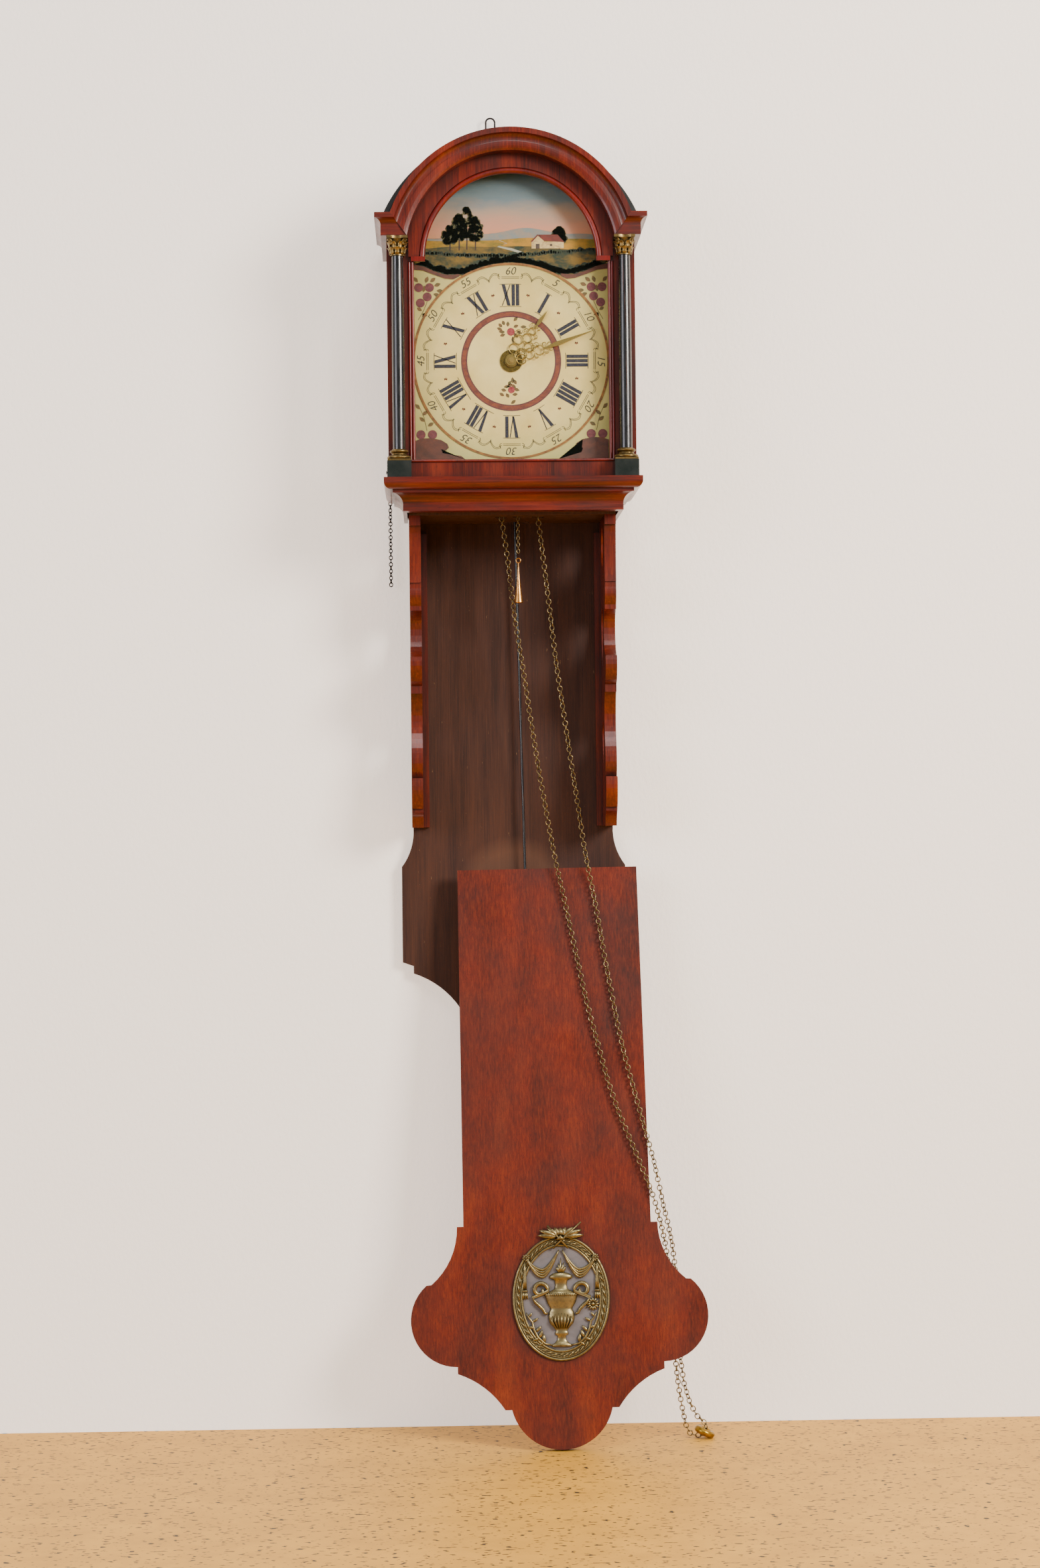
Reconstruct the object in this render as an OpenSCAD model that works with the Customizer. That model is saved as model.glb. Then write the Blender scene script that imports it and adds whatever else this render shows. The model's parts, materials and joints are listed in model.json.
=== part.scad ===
// Wall clock with a short tail: hood, pierced side brackets, tailed backboard, a loose tail front
// and a cage movement with going, striking and motion work. Millimetres. +Z is up, -Y is the front.
// The origin is on the backboard's back face, straight behind the axis of the hands.

/* [Backboard] */
// Thickness of the backboard
board_t = 12; // [8:1:16]
// Height of the backboard's top over the hands' axis
board_top = 299; // [294:1:310]
// Half width inside the hood
board_top_hw = 150; // [146:1:151]
// Half width between the hood and the tail
board_hw = 134; // [128:1:140]
// Half width of the tail
tail_hw = 150; // [144:1:160]
// Height at which the brackets end
bracket_foot_z = -605; // [-620:1:-590]
// Height at which the tail reaches its full width
flare_z = -658; // [-670:1:-645]
// Height of the tail's lower shoulders
tail_foot_z = -786; // [-800:1:-770]
// Height of the tail's lowest point
tail_tip_z = -896; // [-910:1:-880]

/* [Brackets] */
// Thickness of a bracket
bracket_t = 15; // [10:1:20]
// Height of the brackets' top, where the hood stands
shelf_z = -198; // [-210:1:-190]
// Deepest reach of a bracket in front of the backboard
bracket_reach = 120; // [110:1:130]
// Width of the guide rails at the brackets' foot
rail_w = 8; // [5:1:12]
// Depth of the guide rails
rail_d = 9; // [5:1:12]

/* [Hood] */
// Half width of the hood's front board
hood_hw = 160; // [158:1:170]
// Thickness of the hood's front board
hood_front_t = 14; // [10:1:16]
// Thickness of the hood's sides
hood_side_t = 8; // [6:1:10]
// Half width of the opening in the hood's front
window_hw = 125; // [120:1:125]
// Lower edge of the opening
window_foot_z = -127; // [-130:1:-120]
// Height of the arch's centre, where the columns end
spring_z = 128; // [124:1:132]
// Radius of the arched opening
arch_open_r = 110.4; // [106:0.1:112]
// Outer radius of the arch moulding
arch_outer_r = 164.3; // [160:0.1:168]
// Height of the cornice blocks beside the arch
cornice_h = 28.5; // [26:0.5:30]
// Lower edge of the cornice blocks
cornice_z = 155; // [154:1:158]
// Thickness of the bent roof
roof_t = 4; // [3:0.5:5]
// Thickness of the panes
glass_t = 2; // [1.5:0.5:3]
// Gap between the hood and what it slides along
hood_gap = 1; // [0.5:0.5:1]

/* [Columns] */
// Sideways place of the columns
column_x = 146; // [144:1:148]
// Diameter of a column at its foot
column_d = 16.2; // [14:0.2:18]
// Width of a plinth block
plinth_w = 31; // [28:1:32]
// Height of a plinth block
plinth_h = 21.5; // [18:0.5:21.5]
// Height of a turned base
base_h = 15.5; // [12:0.5:18]
// Height of a capital
capital_h = 25; // [22:0.5:26]

/* [Dial and hands] */
// Room for the hands between the dial and the pane
hands_room = 9; // [8:0.5:12]
// Thickness of the dial sheet
dial_t = 1.2; // [1:0.1:2]
// Half width of the dial sheet
dial_hw = 128; // [126:1:130]
// Length of the minute hand
minute_len = 119.4; // [100:0.2:121]
// Length of the hour hand
hour_len = 82; // [60:1:90]
// Angle of the minute hand from twelve
minute_deg = 70.1; // [0:0.1:360]
// Angle of the hour hand from twelve
hour_deg = 36.5; // [0:0.1:360]
// Radius of the alarm disc
alarm_r = 14.5; // [12:0.5:18]
// Thickness of a hand
hand_t = 1.2; // [0.8:0.1:1.4]

/* [Movement] */
// Half width of the cage
cage_hw = 58; // [54:1:62]
// Height of the cage's top plate
cage_top_z = 124; // [120:1:128]
// Height of the cage's bottom plate
cage_foot_z = -94; // [-98:1:-90]
// Thickness of the cage's plates
plate_t = 4; // [3:0.5:4]
// Depth of the rear bar
rear_bar_d = 46; // [45:0.5:48]
// Room for the striking train, from the rear bar to the middle bar
strike_room = 38; // [37:0.5:42]
// Room for the going train, from the middle bar to the front bar
train_room = 42; // [38:0.5:46]
// Room for the motion work, from the front bar to the dial's face
motion_room = 24; // [23:0.5:27]
// Thickness of the three bars
bar_t = 4; // [3:0.5:4]
// Width of the three bars
bar_w = 18; // [14:1:22]
// Radius of the chain wheel
sprocket_r = 24; // [22:0.5:24]
// Teeth of the going great wheel
great_n = 60; // [60:12:72]
// Module of the great wheels
great_m = 1.25; // [1.2:0.05:1.25]
// Leaves of the centre pinion
centre_pinion_n = 10; // [10:1:12]
// Teeth of the centre wheel
centre_n = 64; // [64:4:72]
// Module of the centre wheel
centre_m = 1; // [0.95:0.05:1]
// Leaves of the third and escape pinions
pinion_n = 8; // [8:1:8]
// Teeth of the third wheel
third_n = 66; // [60:2:68]
// Module of the third wheel
third_m = 0.85; // [0.8:0.05:0.85]
// Teeth of the escape wheel
escape_n = 30; // [28:1:32]
// Radius of the escape wheel at its tips
escape_r = 25; // [23:0.5:25]
// Module of the motion work
motion_m = 0.8; // [0.8:0.01:0.82]
// Teeth of the cannon pinion
cannon_n = 20; // [20:20:20]
// Teeth of the minute wheel
minute_n = 60; // [60:60:60]
// Leaves of the minute wheel's pinion
minute_pinion_n = 16; // [16:16:16]
// Teeth of the hour wheel
hour_n = 64; // [64:64:64]
// Running clearance of a turning shaft in its hole
running = 0.05; // [0.03:0.01:0.1]
// Radius of the bell
bell_r = 44; // [40:1:46]

/* [Pendulum] */
// Depth of the rod in front of the wall
rod_depth = 25.5; // [24:0.5:27]
// Diameter of the rod
rod_d = 3.5; // [3:0.5:4]
// Height of the bob's centre
bob_z = -711; // [-730:1:-700]
// Radius of the bob
bob_r = 42; // [36:1:44]
// Thickness of the bob
bob_t = 15; // [12:1:16]

/* [Tail front] */
// Length of the tail front
tail_len = 757; // [740:1:770]
// Thickness of the tail front
tail_t = 14; // [10:1:16]
// Half width at its top
tail_top_hw = 119.2; // [112:0.2:119.6]
// Half width of its lobes
lobe_hw = 193.5; // [185:0.5:198]
// Angle at which it leans back
lean_deg = 9; // [7:0.5:9.5]
// Angle at which it stands askew
askew_deg = 0.7; // [0:0.1:1.5]
// Depth at which its top rests
top_rest = 47.6; // [45:0.1:60]
// Sideways place of its tip
tip_x = 52.5; // [45:0.5:60]
// Depth at which the floor lies under the hands' axis
floor_drop = 1411; // [1405:1:1420]
// Width of the oval ornament
oval_w = 108; // [100:1:112]
// Height of the oval ornament
oval_h = 136; // [128:1:140]
// Width of the ornament's border
oval_rim = 10.3; // [9:0.1:12]
// Height of the oval's centre above the tip
oval_v = 185; // [180:1:190]

/* [Chains] */
// Width of the main chain's links
chain_d = 7.6; // [7:0.1:8]
// Width of the alarm chain's links
alarm_chain_d = 5.2; // [5:0.1:5.6]
// Width of the dark side chain's links
side_chain_d = 5.6; // [5:0.1:5.8]
// Outer diameter of the ring weight
ring_od = 28; // [26:0.5:30]
// Thickness of the ring weight
ring_t = 9; // [8:0.5:10]
// Length of the cone weight
cone_len = 48; // [44:1:52]
// Diameter of the cone weight at its foot
cone_d = 12.4; // [11:0.2:14]

/* [Hidden] */
$fn = 64;
// Depths, each from the one behind it
middle_bar_d = rear_bar_d + strike_room;
front_bar_d = middle_bar_d + train_room;
dial_depth = front_bar_d + motion_room;
hood_depth = dial_depth + hands_room + glass_t + hood_front_t;
chain_depth = middle_bar_d + 8;
alarm_chain_depth = chain_depth + 8;
tip_depth = top_rest + tail_len * sin(lean_deg);

mahogany = "#9a4522";
oak = "#4a3226";
brass = "#b59a58";
iron = "#3c3c40";

// Points of an arc about a centre, from one angle to another.
function arc(c, r, a0, a1, n = 10) =
    [for (i = [0:n]) c + r * [cos(a0 + (a1 - a0) * i / n), sin(a0 + (a1 - a0) * i / n)]];

// Points after p up to q on an arc that stands off the chord by rise, to its left as it runs.
function bow(p, q, rise, n = 8) =
    let (half = norm(q - p) / 2, r = (half * half + rise * rise) / (2 * abs(rise)),
        u = (q - p) / (2 * half), left = [-u[1], u[0]] * sign(rise),
        c = (p + q) / 2 - left * (r - abs(rise)), sweep = asin(min(1, half / r)) * 2)
    [for (i = [1:n]) let (a = sweep * (i / n - 0.5)) c + r * (left * cos(a) + u * sin(a))];

// An ellipse as points.
function oval(w, h, n = 72) = [for (i = [0:n - 1]) [w / 2 * cos(i * 360 / n), h / 2 * sin(i * 360 / n)]];

function flip(points) = [for (i = [len(points) - 1:-1:0]) [-points[i][0], points[i][1]]];

// Stands a flat shape, drawn as seen from the front, upright: its front is at depth d, and it is t thick.
module upright(d, t) {
    translate([0, t - d, 0]) rotate([90, 0, 0]) linear_extrude(t) children();
}

// A turned piece whose axis runs from front to back, from depth d0 out to depth d1.
module arbor(x, z, d0, d1, r) {
    translate([x, -d0, z]) rotate([90, 0, 0]) cylinder(h = d1 - d0, r = r);
}

/* The case: backboard, brackets and seat */

board_half = concat(
    [[board_top_hw, board_top], [board_top_hw, shelf_z], [board_hw, shelf_z], [board_hw, bracket_foot_z]],
    bow([board_hw, bracket_foot_z], [tail_hw, flare_z], -5),
    [[tail_hw, tail_foot_z], [tail_hw - 14.6, tail_foot_z - 5], [tail_hw - 14.6, tail_foot_z - 15]],
    bow([tail_hw - 14.6, tail_foot_z - 15], [73.7, tail_foot_z - 62], -6.5),
    [[65, tail_foot_z - 62]],
    bow([65, tail_foot_z - 62], [0, tail_tip_z], 14, 12));

module backboard() {
    color(oak) difference() {
        upright(board_t, board_t) polygon(concat(board_half, flip(board_half)));
        for (side = [-1, 1]) translate([loop_x + side * loop_r, -board_t / 2, loop_foot])
            cylinder(h = board_top - loop_foot + 1, d = loop_wire, $fn = 24);
        nail_shank(nail_in + 1);
    }
}

// Outline of a bracket seen from the side, in front of the backboard: [reach, height].
bracket_outline = concat(
    [[0, shelf_z], [bracket_reach, shelf_z], [bracket_reach, shelf_z - 13],
        [bracket_reach - 5, shelf_z - 13]],
    bow([bracket_reach - 5, shelf_z - 13], [bracket_reach - 6, shelf_z - 87], -3),
    [[bracket_reach - 8, shelf_z - 87], [bracket_reach - 8, shelf_z - 94]],
    bow([bracket_reach - 8, shelf_z - 94], [bracket_reach - 13, shelf_z - 117], 3),
    [[bracket_reach - 13, shelf_z - 123]],
    bow([bracket_reach - 13, shelf_z - 123], [bracket_reach - 38, shelf_z - 138], -5),
    bow([bracket_reach - 38, shelf_z - 138], [bracket_reach - 5, shelf_z - 184], -14),
    bow([bracket_reach - 5, shelf_z - 184], [bracket_reach - 24, shelf_z - 221], 9),
    [[bracket_reach - 24, shelf_z - 231], [bracket_reach - 32, shelf_z - 231]],
    bow([bracket_reach - 32, shelf_z - 231], [bracket_reach - 40, shelf_z - 290], -9),
    bow([bracket_reach - 40, shelf_z - 290], [bracket_reach - 37, shelf_z - 342], 7),
    [[bracket_reach - 20, shelf_z - 342]],
    bow([bracket_reach - 20, shelf_z - 342], [bracket_reach - 28, shelf_z - 382], 4),
    [[bracket_reach - 32, shelf_z - 382], [bracket_reach - 32, shelf_z - 387]],
    bow([bracket_reach - 32, shelf_z - 387], [bracket_reach - 48, bracket_foot_z], -4),
    [[0, bracket_foot_z]]);

// A drop-shaped slot standing on its point.
module drop(h, w) {
    turn = acos(w / (2 * h - w));
    polygon(concat(arc([0, h - w / 2], w / 2, turn - 90, 270 - turn, 20), [[0, 0]]));
}

module bracket(side) {
    color(mahogany) translate([side * (board_hw - bracket_t / 2 + 1), -board_t, 0])
        rotate([90, 0, -90]) translate([0, 0, -bracket_t / 2]) linear_extrude(bracket_t) difference() {
            polygon(bracket_outline);
            translate([60, shelf_z - 68]) drop(55, 46);
            translate([45, shelf_z - 198]) drop(79, 42);
            translate([43, shelf_z - 330]) drop(62, 34);
        }
}

module bracket_left() { bracket(-1); }
module bracket_right() { bracket(1); }

bracket_in = board_hw + 1 - bracket_t;

module guide_rails() {
    color(mahogany) for (side = [-1, 1])
        translate([side * (bracket_in - rail_w / 2) - rail_w / 2, -board_t - rail_d, bracket_foot_z])
            cube([rail_w, rail_d, shelf_z - 14 - bracket_foot_z]);
}

loop_r = 5;
loop_wire = 2.4;
loop_x = -13;
loop_top = 339;
loop_foot = board_top - 26;

module hanging_loop() {
    color(iron) translate([loop_x, -board_t / 2, 0]) {
        translate([0, 0, loop_top - loop_r - loop_wire / 2]) rotate([90, 0, 0])
            rotate_extrude(angle = 180) translate([loop_r, 0]) circle(d = loop_wire, $fn = 24);
        for (side = [-1, 1]) translate([side * loop_r, 0, loop_foot])
            cylinder(h = loop_top - loop_r - loop_wire / 2 - loop_foot, d = loop_wire, $fn = 24);
    }
}

seat_t = 14;
seat_hw = board_hw + 1;
seat_depth = front_bar_d + 6;
// Slots for the chain, the alarm chain and the pendulum: [middle, width, near depth, far depth].
seat_slots = [for (x = [-14, 34]) [x, 16, chain_depth - 12, chain_depth + 12]];
seat_holes = [[8, 13, alarm_chain_depth - 7, alarm_chain_depth + 7],
    [3, 44, rod_depth - 8, rod_depth + 10]];

module seat_board() {
    color(oak) difference() {
        translate([-seat_hw, -seat_depth, shelf_z]) cube([2 * seat_hw, seat_depth - board_t, seat_t]);
        for (c = concat(seat_slots, seat_holes)) translate([c[0] - c[1] / 2, -c[3], shelf_z - 1])
            cube([c[1], c[3] - c[2], seat_t + 2]);
    }
}

nail_z = -128;
nail_in = 8;
nail_out = 14.5;

module nail_shank(out) {
    translate([nail_in - board_top_hw, -9, nail_z]) rotate([0, -90, 0]) cylinder(h = out, d = 1.8, $fn = 24);
}

module chain_nail() {
    color(iron) {
        nail_shank(nail_in + nail_out);
        translate([-board_top_hw - nail_out, -9, nail_z]) rotate([0, -90, 0])
            cylinder(h = 1, d = 5, $fn = 24);
    }
}

/* The movement's cage */

post_x = cage_hw - 7;
post_d = [rear_bar_d + 2, front_bar_d - 6];
post_r = 3;
seat_top = shelf_z + seat_t;
rear_edge_d = rear_bar_d - bar_t - 2;
front_edge_d = front_bar_d + 2;

// Heights of the arbors, each a gear mesh above the last.
great_z = -great_m * (great_n + centre_pinion_n) / 2;
third_z = centre_m * (centre_n + pinion_n) / 2;
escape_z = third_z + third_m * (third_n + pinion_n) / 2;
// The anchor spans nine and a half teeth.
anchor_z = escape_z + escape_r / cos(9.5 / 2 * 360 / escape_n);
warning_m = 0.8;
warning_n = 54;
fly_z = third_z + warning_m * (warning_n + pinion_n) / 2;

module plate(z, slots) {
    difference() {
        translate([-cage_hw, -front_edge_d, z]) cube([2 * cage_hw, front_edge_d - rear_edge_d, plate_t]);
        for (x = [-post_x, post_x], d = post_d)
            translate([x, -d, z - 1]) cylinder(h = plate_t + 2, r = post_r);
        if (slots) {
            for (x = [-sprocket_r + 2, sprocket_r + 3])
                translate([x - 7, -chain_depth - 9, z - 1]) cube([14, 18, plate_t + 2]);
            translate([8, -alarm_chain_depth, z - 1]) cylinder(h = plate_t + 2, r = 4);
        } else {
            translate([0, -middle_bar_d + 10, z - 1]) cylinder(h = plate_t + 2, r = stand_r);
        }
    }
}

stand_r = 2.5;

module cage_plates() {
    color(iron) {
        plate(cage_foot_z, true);
        plate(cage_top_z - plate_t, false);
    }
}

cage_h = cage_top_z - cage_foot_z - 2 * plate_t;
leg_h = cage_foot_z - seat_top;

// A turned corner post: foot, neck through the lower plate, baluster, neck through the upper, finial.
module post() {
    rotate_extrude() polygon(concat(
        [[0, 0], [5, 0], [5, 4], [3.6, 6]],
        bow([3.6, 6], [3.6, leg_h * 0.5], -3),
        bow([3.6, leg_h * 0.5], [4, leg_h - 6], 1),
        [[5.5, leg_h - 4], [5.5, leg_h], [post_r, leg_h], [post_r, leg_h + plate_t], [5.5, leg_h + plate_t],
            [5.5, leg_h + plate_t + 5], [3.6, leg_h + plate_t + 8]],
        bow([3.6, leg_h + plate_t + 8], [3.6, leg_h + plate_t + cage_h / 2], -2),
        bow([3.6, leg_h + plate_t + cage_h / 2], [3.6, leg_h + plate_t + cage_h - 8], -2),
        [[5.5, leg_h + plate_t + cage_h - 5], [5.5, leg_h + plate_t + cage_h],
            [post_r, leg_h + plate_t + cage_h], [post_r, leg_h + 2 * plate_t + cage_h],
            [5, leg_h + 2 * plate_t + cage_h], [5, leg_h + 2 * plate_t + cage_h + 3]],
        bow([5, leg_h + 2 * plate_t + cage_h + 3], [0, leg_h + 2 * plate_t + cage_h + 11], -3)));
}

hammer_x = cage_hw + 6;
hammer_z = 20;
pivot_r = 1.5;
lug_t = 4;

module cage_posts() {
    color(iron) {
        for (x = [-post_x, post_x], d = post_d) translate([x, -d, seat_top]) post();
        // Lugs that carry the hammer's arbor
        for (d = post_d) difference() {
            translate([post_x, -d - lug_t / 2, hammer_z - 4]) cube([hammer_x - post_x + 4, lug_t, 8]);
            arbor(hammer_x, hammer_z, d - lug_t, d + lug_t, pivot_r + running);
        }
    }
}

// A bar between the plates with a row of pivot holes: each hole is [height, radius].
module bar(d, holes) {
    foot_z = cage_foot_z + plate_t;
    color(brass) difference() {
        translate([-bar_w / 2, -d, foot_z]) cube([bar_w, bar_t, cage_h]);
        for (h = holes) arbor(0, h[0], d - bar_t - 1, d + 1, h[1] + running);
    }
}

centre_r = 2.5;
arbor_r = 2;
motion_c = motion_m * (cannon_n + minute_n) / 2;
motion_d = front_bar_d + 3.5;
stud_len = 15;

module front_bar() {
    bar(front_bar_d, [[great_z, pivot_r], [0, centre_r], [third_z, pivot_r], [escape_z, pivot_r],
        [anchor_z, pivot_r]]);
    // Stud of the minute wheel
    color(brass) arbor(0, -motion_c, front_bar_d, front_bar_d + stud_len, arbor_r);
}

module middle_bar() {
    bar(middle_bar_d, [[great_z, pivot_r], [0, pivot_r], [third_z, pivot_r], [escape_z, pivot_r],
        [fly_z, pivot_r], [anchor_z, arbor_r]]);
}

module rear_bar() {
    bar(rear_bar_d, [[great_z, pivot_r], [0, pivot_r], [third_z, pivot_r], [fly_z, pivot_r],
        [anchor_z, arbor_r]]);
}

cock_t = 3;
eye_t = 3;

// Carries the pendulum behind the cage, with its pin on the anchor's axis.
module pendulum_cock() {
    back_d = rod_depth - eye_t / 2 - 1 - cock_t;
    color(iron) {
        translate([-7, -rear_edge_d - 14, cage_top_z]) cube([14, rear_edge_d + 14 - back_d, cock_t]);
        translate([-7, -back_d - cock_t, anchor_z - 6]) cube([14, cock_t, cage_top_z - anchor_z + 6]);
        arbor(0, anchor_z, back_d + cock_t, rod_depth + eye_t / 2 + 1.5, pivot_r);
        arbor(0, anchor_z, rod_depth + eye_t / 2 + 0.5, rod_depth + eye_t / 2 + 1.5, pivot_r + 1);
    }
}

bell_z = cage_top_z + 16;
bell_h = 32;
bell_wall = 2;
flange_r = 5;
// Flat round the hole, where the flange and the nut seat
crown_r = flange_r + 0.5;
bell_d = middle_bar_d - 10;

module bell_stand() {
    color(iron) translate([0, -bell_d, cage_top_z - plate_t]) {
        cylinder(h = bell_z + bell_h - cage_top_z + plate_t + 4, r = stand_r);
        translate([0, 0, plate_t]) cylinder(h = 5, r = 6);
        translate([0, 0, bell_z + bell_h - cage_top_z + plate_t - bell_wall - 3])
            cylinder(h = 3, r = flange_r);
        translate([0, 0, bell_z + bell_h - cage_top_z + plate_t]) cylinder(h = 4, r = flange_r, $fn = 6);
    }
}

// The bell's wall, from the hole at its crown down to the lip and back inside.
module bell() {
    color(brass) translate([0, -bell_d, bell_z]) rotate_extrude() polygon(concat(
        [[stand_r, bell_h - bell_wall], [stand_r, bell_h], [crown_r, bell_h]],
        bow([crown_r, bell_h], [bell_r - 4, 7], 6.5, 12),
        bow([bell_r - 4, 7], [bell_r, 0], -1, 4),
        [[bell_r - bell_wall, 0]],
        bow([bell_r - bell_wall, 0], [bell_r - 4 - bell_wall, 7], 1, 4),
        bow([bell_r - 4 - bell_wall, 7], [crown_r, bell_h - bell_wall], -6, 12)));
}

hour_pipe_r = 6;
dial_arch_r = arch_open_r + 6;

module dial_shape() {
    difference() {
        union() {
            translate([-dial_hw, window_foot_z - 3]) square([2 * dial_hw, spring_z - window_foot_z + 3]);
            intersection() {
                translate([0, spring_z]) circle(dial_arch_r, $fn = 128);
                translate([-dial_hw, spring_z - 1]) square([2 * dial_hw, dial_arch_r + 1]);
            }
        }
        circle(hour_pipe_r + 1);
    }
}

module dial() { color("#e9e2bd") upright(dial_depth, dial_t) dial_shape(); }

module dial_feet() {
    color(iron) for (x = [-45, 45], z = [cage_foot_z + plate_t / 2, cage_top_z - plate_t / 2])
        arbor(x, z, front_edge_d, dial_depth - dial_t, plate_t / 2 - 0.2);
}

/* The trains */

// A toothed rim as a flat shape; phase is the angle at which a tooth stands.
module teeth(n, m, phase) {
    leaf = n < 14 ? 0.30 : 0.36;
    // Half a tooth from root to tip: [part of the pitch, height in modules]
    flank = [[0.62 * leaf, -1.25], [0.5 * leaf, -0.1], [0.22 * leaf, 0.85]];
    tooth = concat([for (f = flank) [-f[0], f[1]]], [for (k = [2:-1:0]) flank[k]]);
    rotate(phase) polygon([for (i = [0:n - 1], f = tooth)
        let (a = (i + f[0]) * 360 / n) m * (n / 2 + f[1]) * [cos(a), sin(a)]]);
}

// A wheel crossed out with four arms.
module wheel(n, m, phase, hub) {
    rim = m * n / 2 - 1.25 * m - 2.4;
    difference() {
        teeth(n, m, phase);
        difference() {
            circle(rim);
            circle(hub + 3);
            for (a = [0, 90]) rotate(a) translate([-rim, -1.6]) square([2 * rim, 3.2]);
        }
    }
}

// Each train's piece is drawn about its own axis, then put at its height. d0 and d1 are depths.
module at_axis(z, d0, d1) {
    translate([0, 0, z]) upright(d1, d1 - d0) children();
}

wheel_step = train_room / 7;
great_d = middle_bar_d + 2 * wheel_step + 1;
great_t = 3;
centre_wheel_d = great_d + wheel_step + 1;
third_wheel_d = centre_wheel_d + wheel_step;
escape_d = third_wheel_d + wheel_step;
wheel_t = 2;
up = 90;

module great_wheel() {
    color(brass) {
        at_axis(great_z, great_d, great_d + great_t) wheel(great_n, great_m, up, 5);
        // Chain wheel with its spikes, between two flanges
        at_axis(great_z, chain_depth - 2, chain_depth + 2) {
            circle(sprocket_r - 6);
            for (i = [0:11]) rotate(i * 30) translate([0, -0.8]) square([sprocket_r - 4.6, 1.6]);
        }
        for (d = [chain_depth - 4.5, chain_depth + 2]) at_axis(great_z, d, d + 2.5) circle(sprocket_r - 5.5);
        arbor(0, great_z, middle_bar_d + 0.5, front_bar_d - bar_t - 0.5, arbor_r + 1);
        arbor(0, great_z, middle_bar_d - bar_t / 2 + 0.2, front_bar_d, pivot_r);
    }
}

cannon_r = 4.1;
pipe_front = dial_depth + 6.3;

module centre_wheel() {
    color(brass) {
        at_axis(0, great_d - 1, great_d + great_t + 1)
            teeth(centre_pinion_n, great_m, -up + 180 / centre_pinion_n);
        at_axis(0, centre_wheel_d, centre_wheel_d + wheel_t) wheel(centre_n, centre_m, up, 5);
        arbor(0, 0, middle_bar_d + 0.5, pipe_front + 1.2, centre_r);
        arbor(0, 0, middle_bar_d - bar_t / 2 + 0.2, middle_bar_d + 0.5, pivot_r);
        at_axis(0, motion_d - 0.5, motion_d + 4.5) teeth(cannon_n, motion_m, -up);
        arbor(0, 0, motion_d - 0.5, pipe_front, cannon_r);
    }
}

module third_wheel() {
    color(brass) {
        at_axis(third_z, centre_wheel_d - 1, centre_wheel_d + wheel_t + 1)
            teeth(pinion_n, centre_m, -up + 180 / pinion_n);
        at_axis(third_z, third_wheel_d, third_wheel_d + wheel_t) wheel(third_n, third_m, up, 4);
        arbor(0, third_z, middle_bar_d + 0.5, front_bar_d - bar_t - 0.5, arbor_r);
        arbor(0, third_z, middle_bar_d - bar_t / 2 + 0.2, front_bar_d, pivot_r);
    }
}

module escape_wheel() {
    color(brass) {
        at_axis(escape_z, third_wheel_d - 1, third_wheel_d + wheel_t + 1)
            teeth(pinion_n, third_m, -up + 180 / pinion_n);
        at_axis(escape_z, escape_d, escape_d + wheel_t) difference() {
            // Each tooth leans back from a pointed tip.
            polygon([for (i = [0:escape_n - 1], p = [[0, 1], [0.22, 0.86], [0.9, 0.86]])
                escape_r * p[1] * [cos((i + p[0]) * 360 / escape_n), sin((i + p[0]) * 360 / escape_n)]]);
            difference() {
                circle(escape_r * 0.86 - 3);
                circle(6);
                for (a = [0, 90]) rotate(a) translate([-escape_r, -1.3]) square([2 * escape_r, 2.6]);
            }
        }
        arbor(0, escape_z, middle_bar_d + 0.5, front_bar_d - bar_t - 0.5, arbor_r);
        arbor(0, escape_z, middle_bar_d - bar_t / 2 + 0.2, front_bar_d, pivot_r);
    }
}

plumb_deg = 1.1;
fork_gap = 0.4;
crutch_len = 66;
crutch_d = rear_bar_d - bar_t - 8;

// Turns what hangs on the pendulum's axis to plumb, as the case hangs a little askew.
module plumb() {
    translate([0, 0, anchor_z]) rotate([0, -plumb_deg, 0]) translate([0, 0, -anchor_z]) children();
}

module anchor() {
    swing_gap = 2.3;
    reach = anchor_z - escape_z;
    color(iron) plumb() {
        at_axis(anchor_z, escape_d - 0.5, escape_d + wheel_t + 0.5) difference() {
            polygon([[0, 6], [-9, 4], [-34, -13], [-38, -24], [-33, -27], [-26, -15], [0, -7], [26, -15],
                [33, -27], [38, -24], [34, -13], [9, 4]]);
            translate([0, -reach]) circle(escape_r + swing_gap);
        }
        arbor(0, anchor_z, crutch_d, front_bar_d - bar_t - 0.5, arbor_r);
        arbor(0, anchor_z, front_bar_d - bar_t - 0.5, front_bar_d, pivot_r);
        // Crutch and the fork that holds the rod
        translate([-1.5, -crutch_d - 3, anchor_z - crutch_len]) cube([3, 3, crutch_len]);
        for (side = [-1, 1])
            translate([side * (rod_d / 2 + fork_gap + 1) - 1, -crutch_d - 3, anchor_z - crutch_len])
                cube([2, crutch_d + 3 - rod_depth + 4, 3]);
        translate([-rod_d / 2 - fork_gap - 2, -crutch_d - 3, anchor_z - crutch_len])
            cube([rod_d + 2 * fork_gap + 4, 3, 3]);
    }
}

module minute_wheel() {
    color(brass) difference() {
        union() {
            at_axis(-motion_c, motion_d, motion_d + 4) wheel(minute_n, motion_m, up + 180 / minute_n, 4);
            at_axis(-motion_c, motion_d + 4, motion_d + 9.5) teeth(minute_pinion_n, motion_m, up);
        }
        arbor(0, -motion_c, motion_d - 1, motion_d + 11, arbor_r + running);
    }
}

hour_wheel_d = motion_d + 6;

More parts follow.
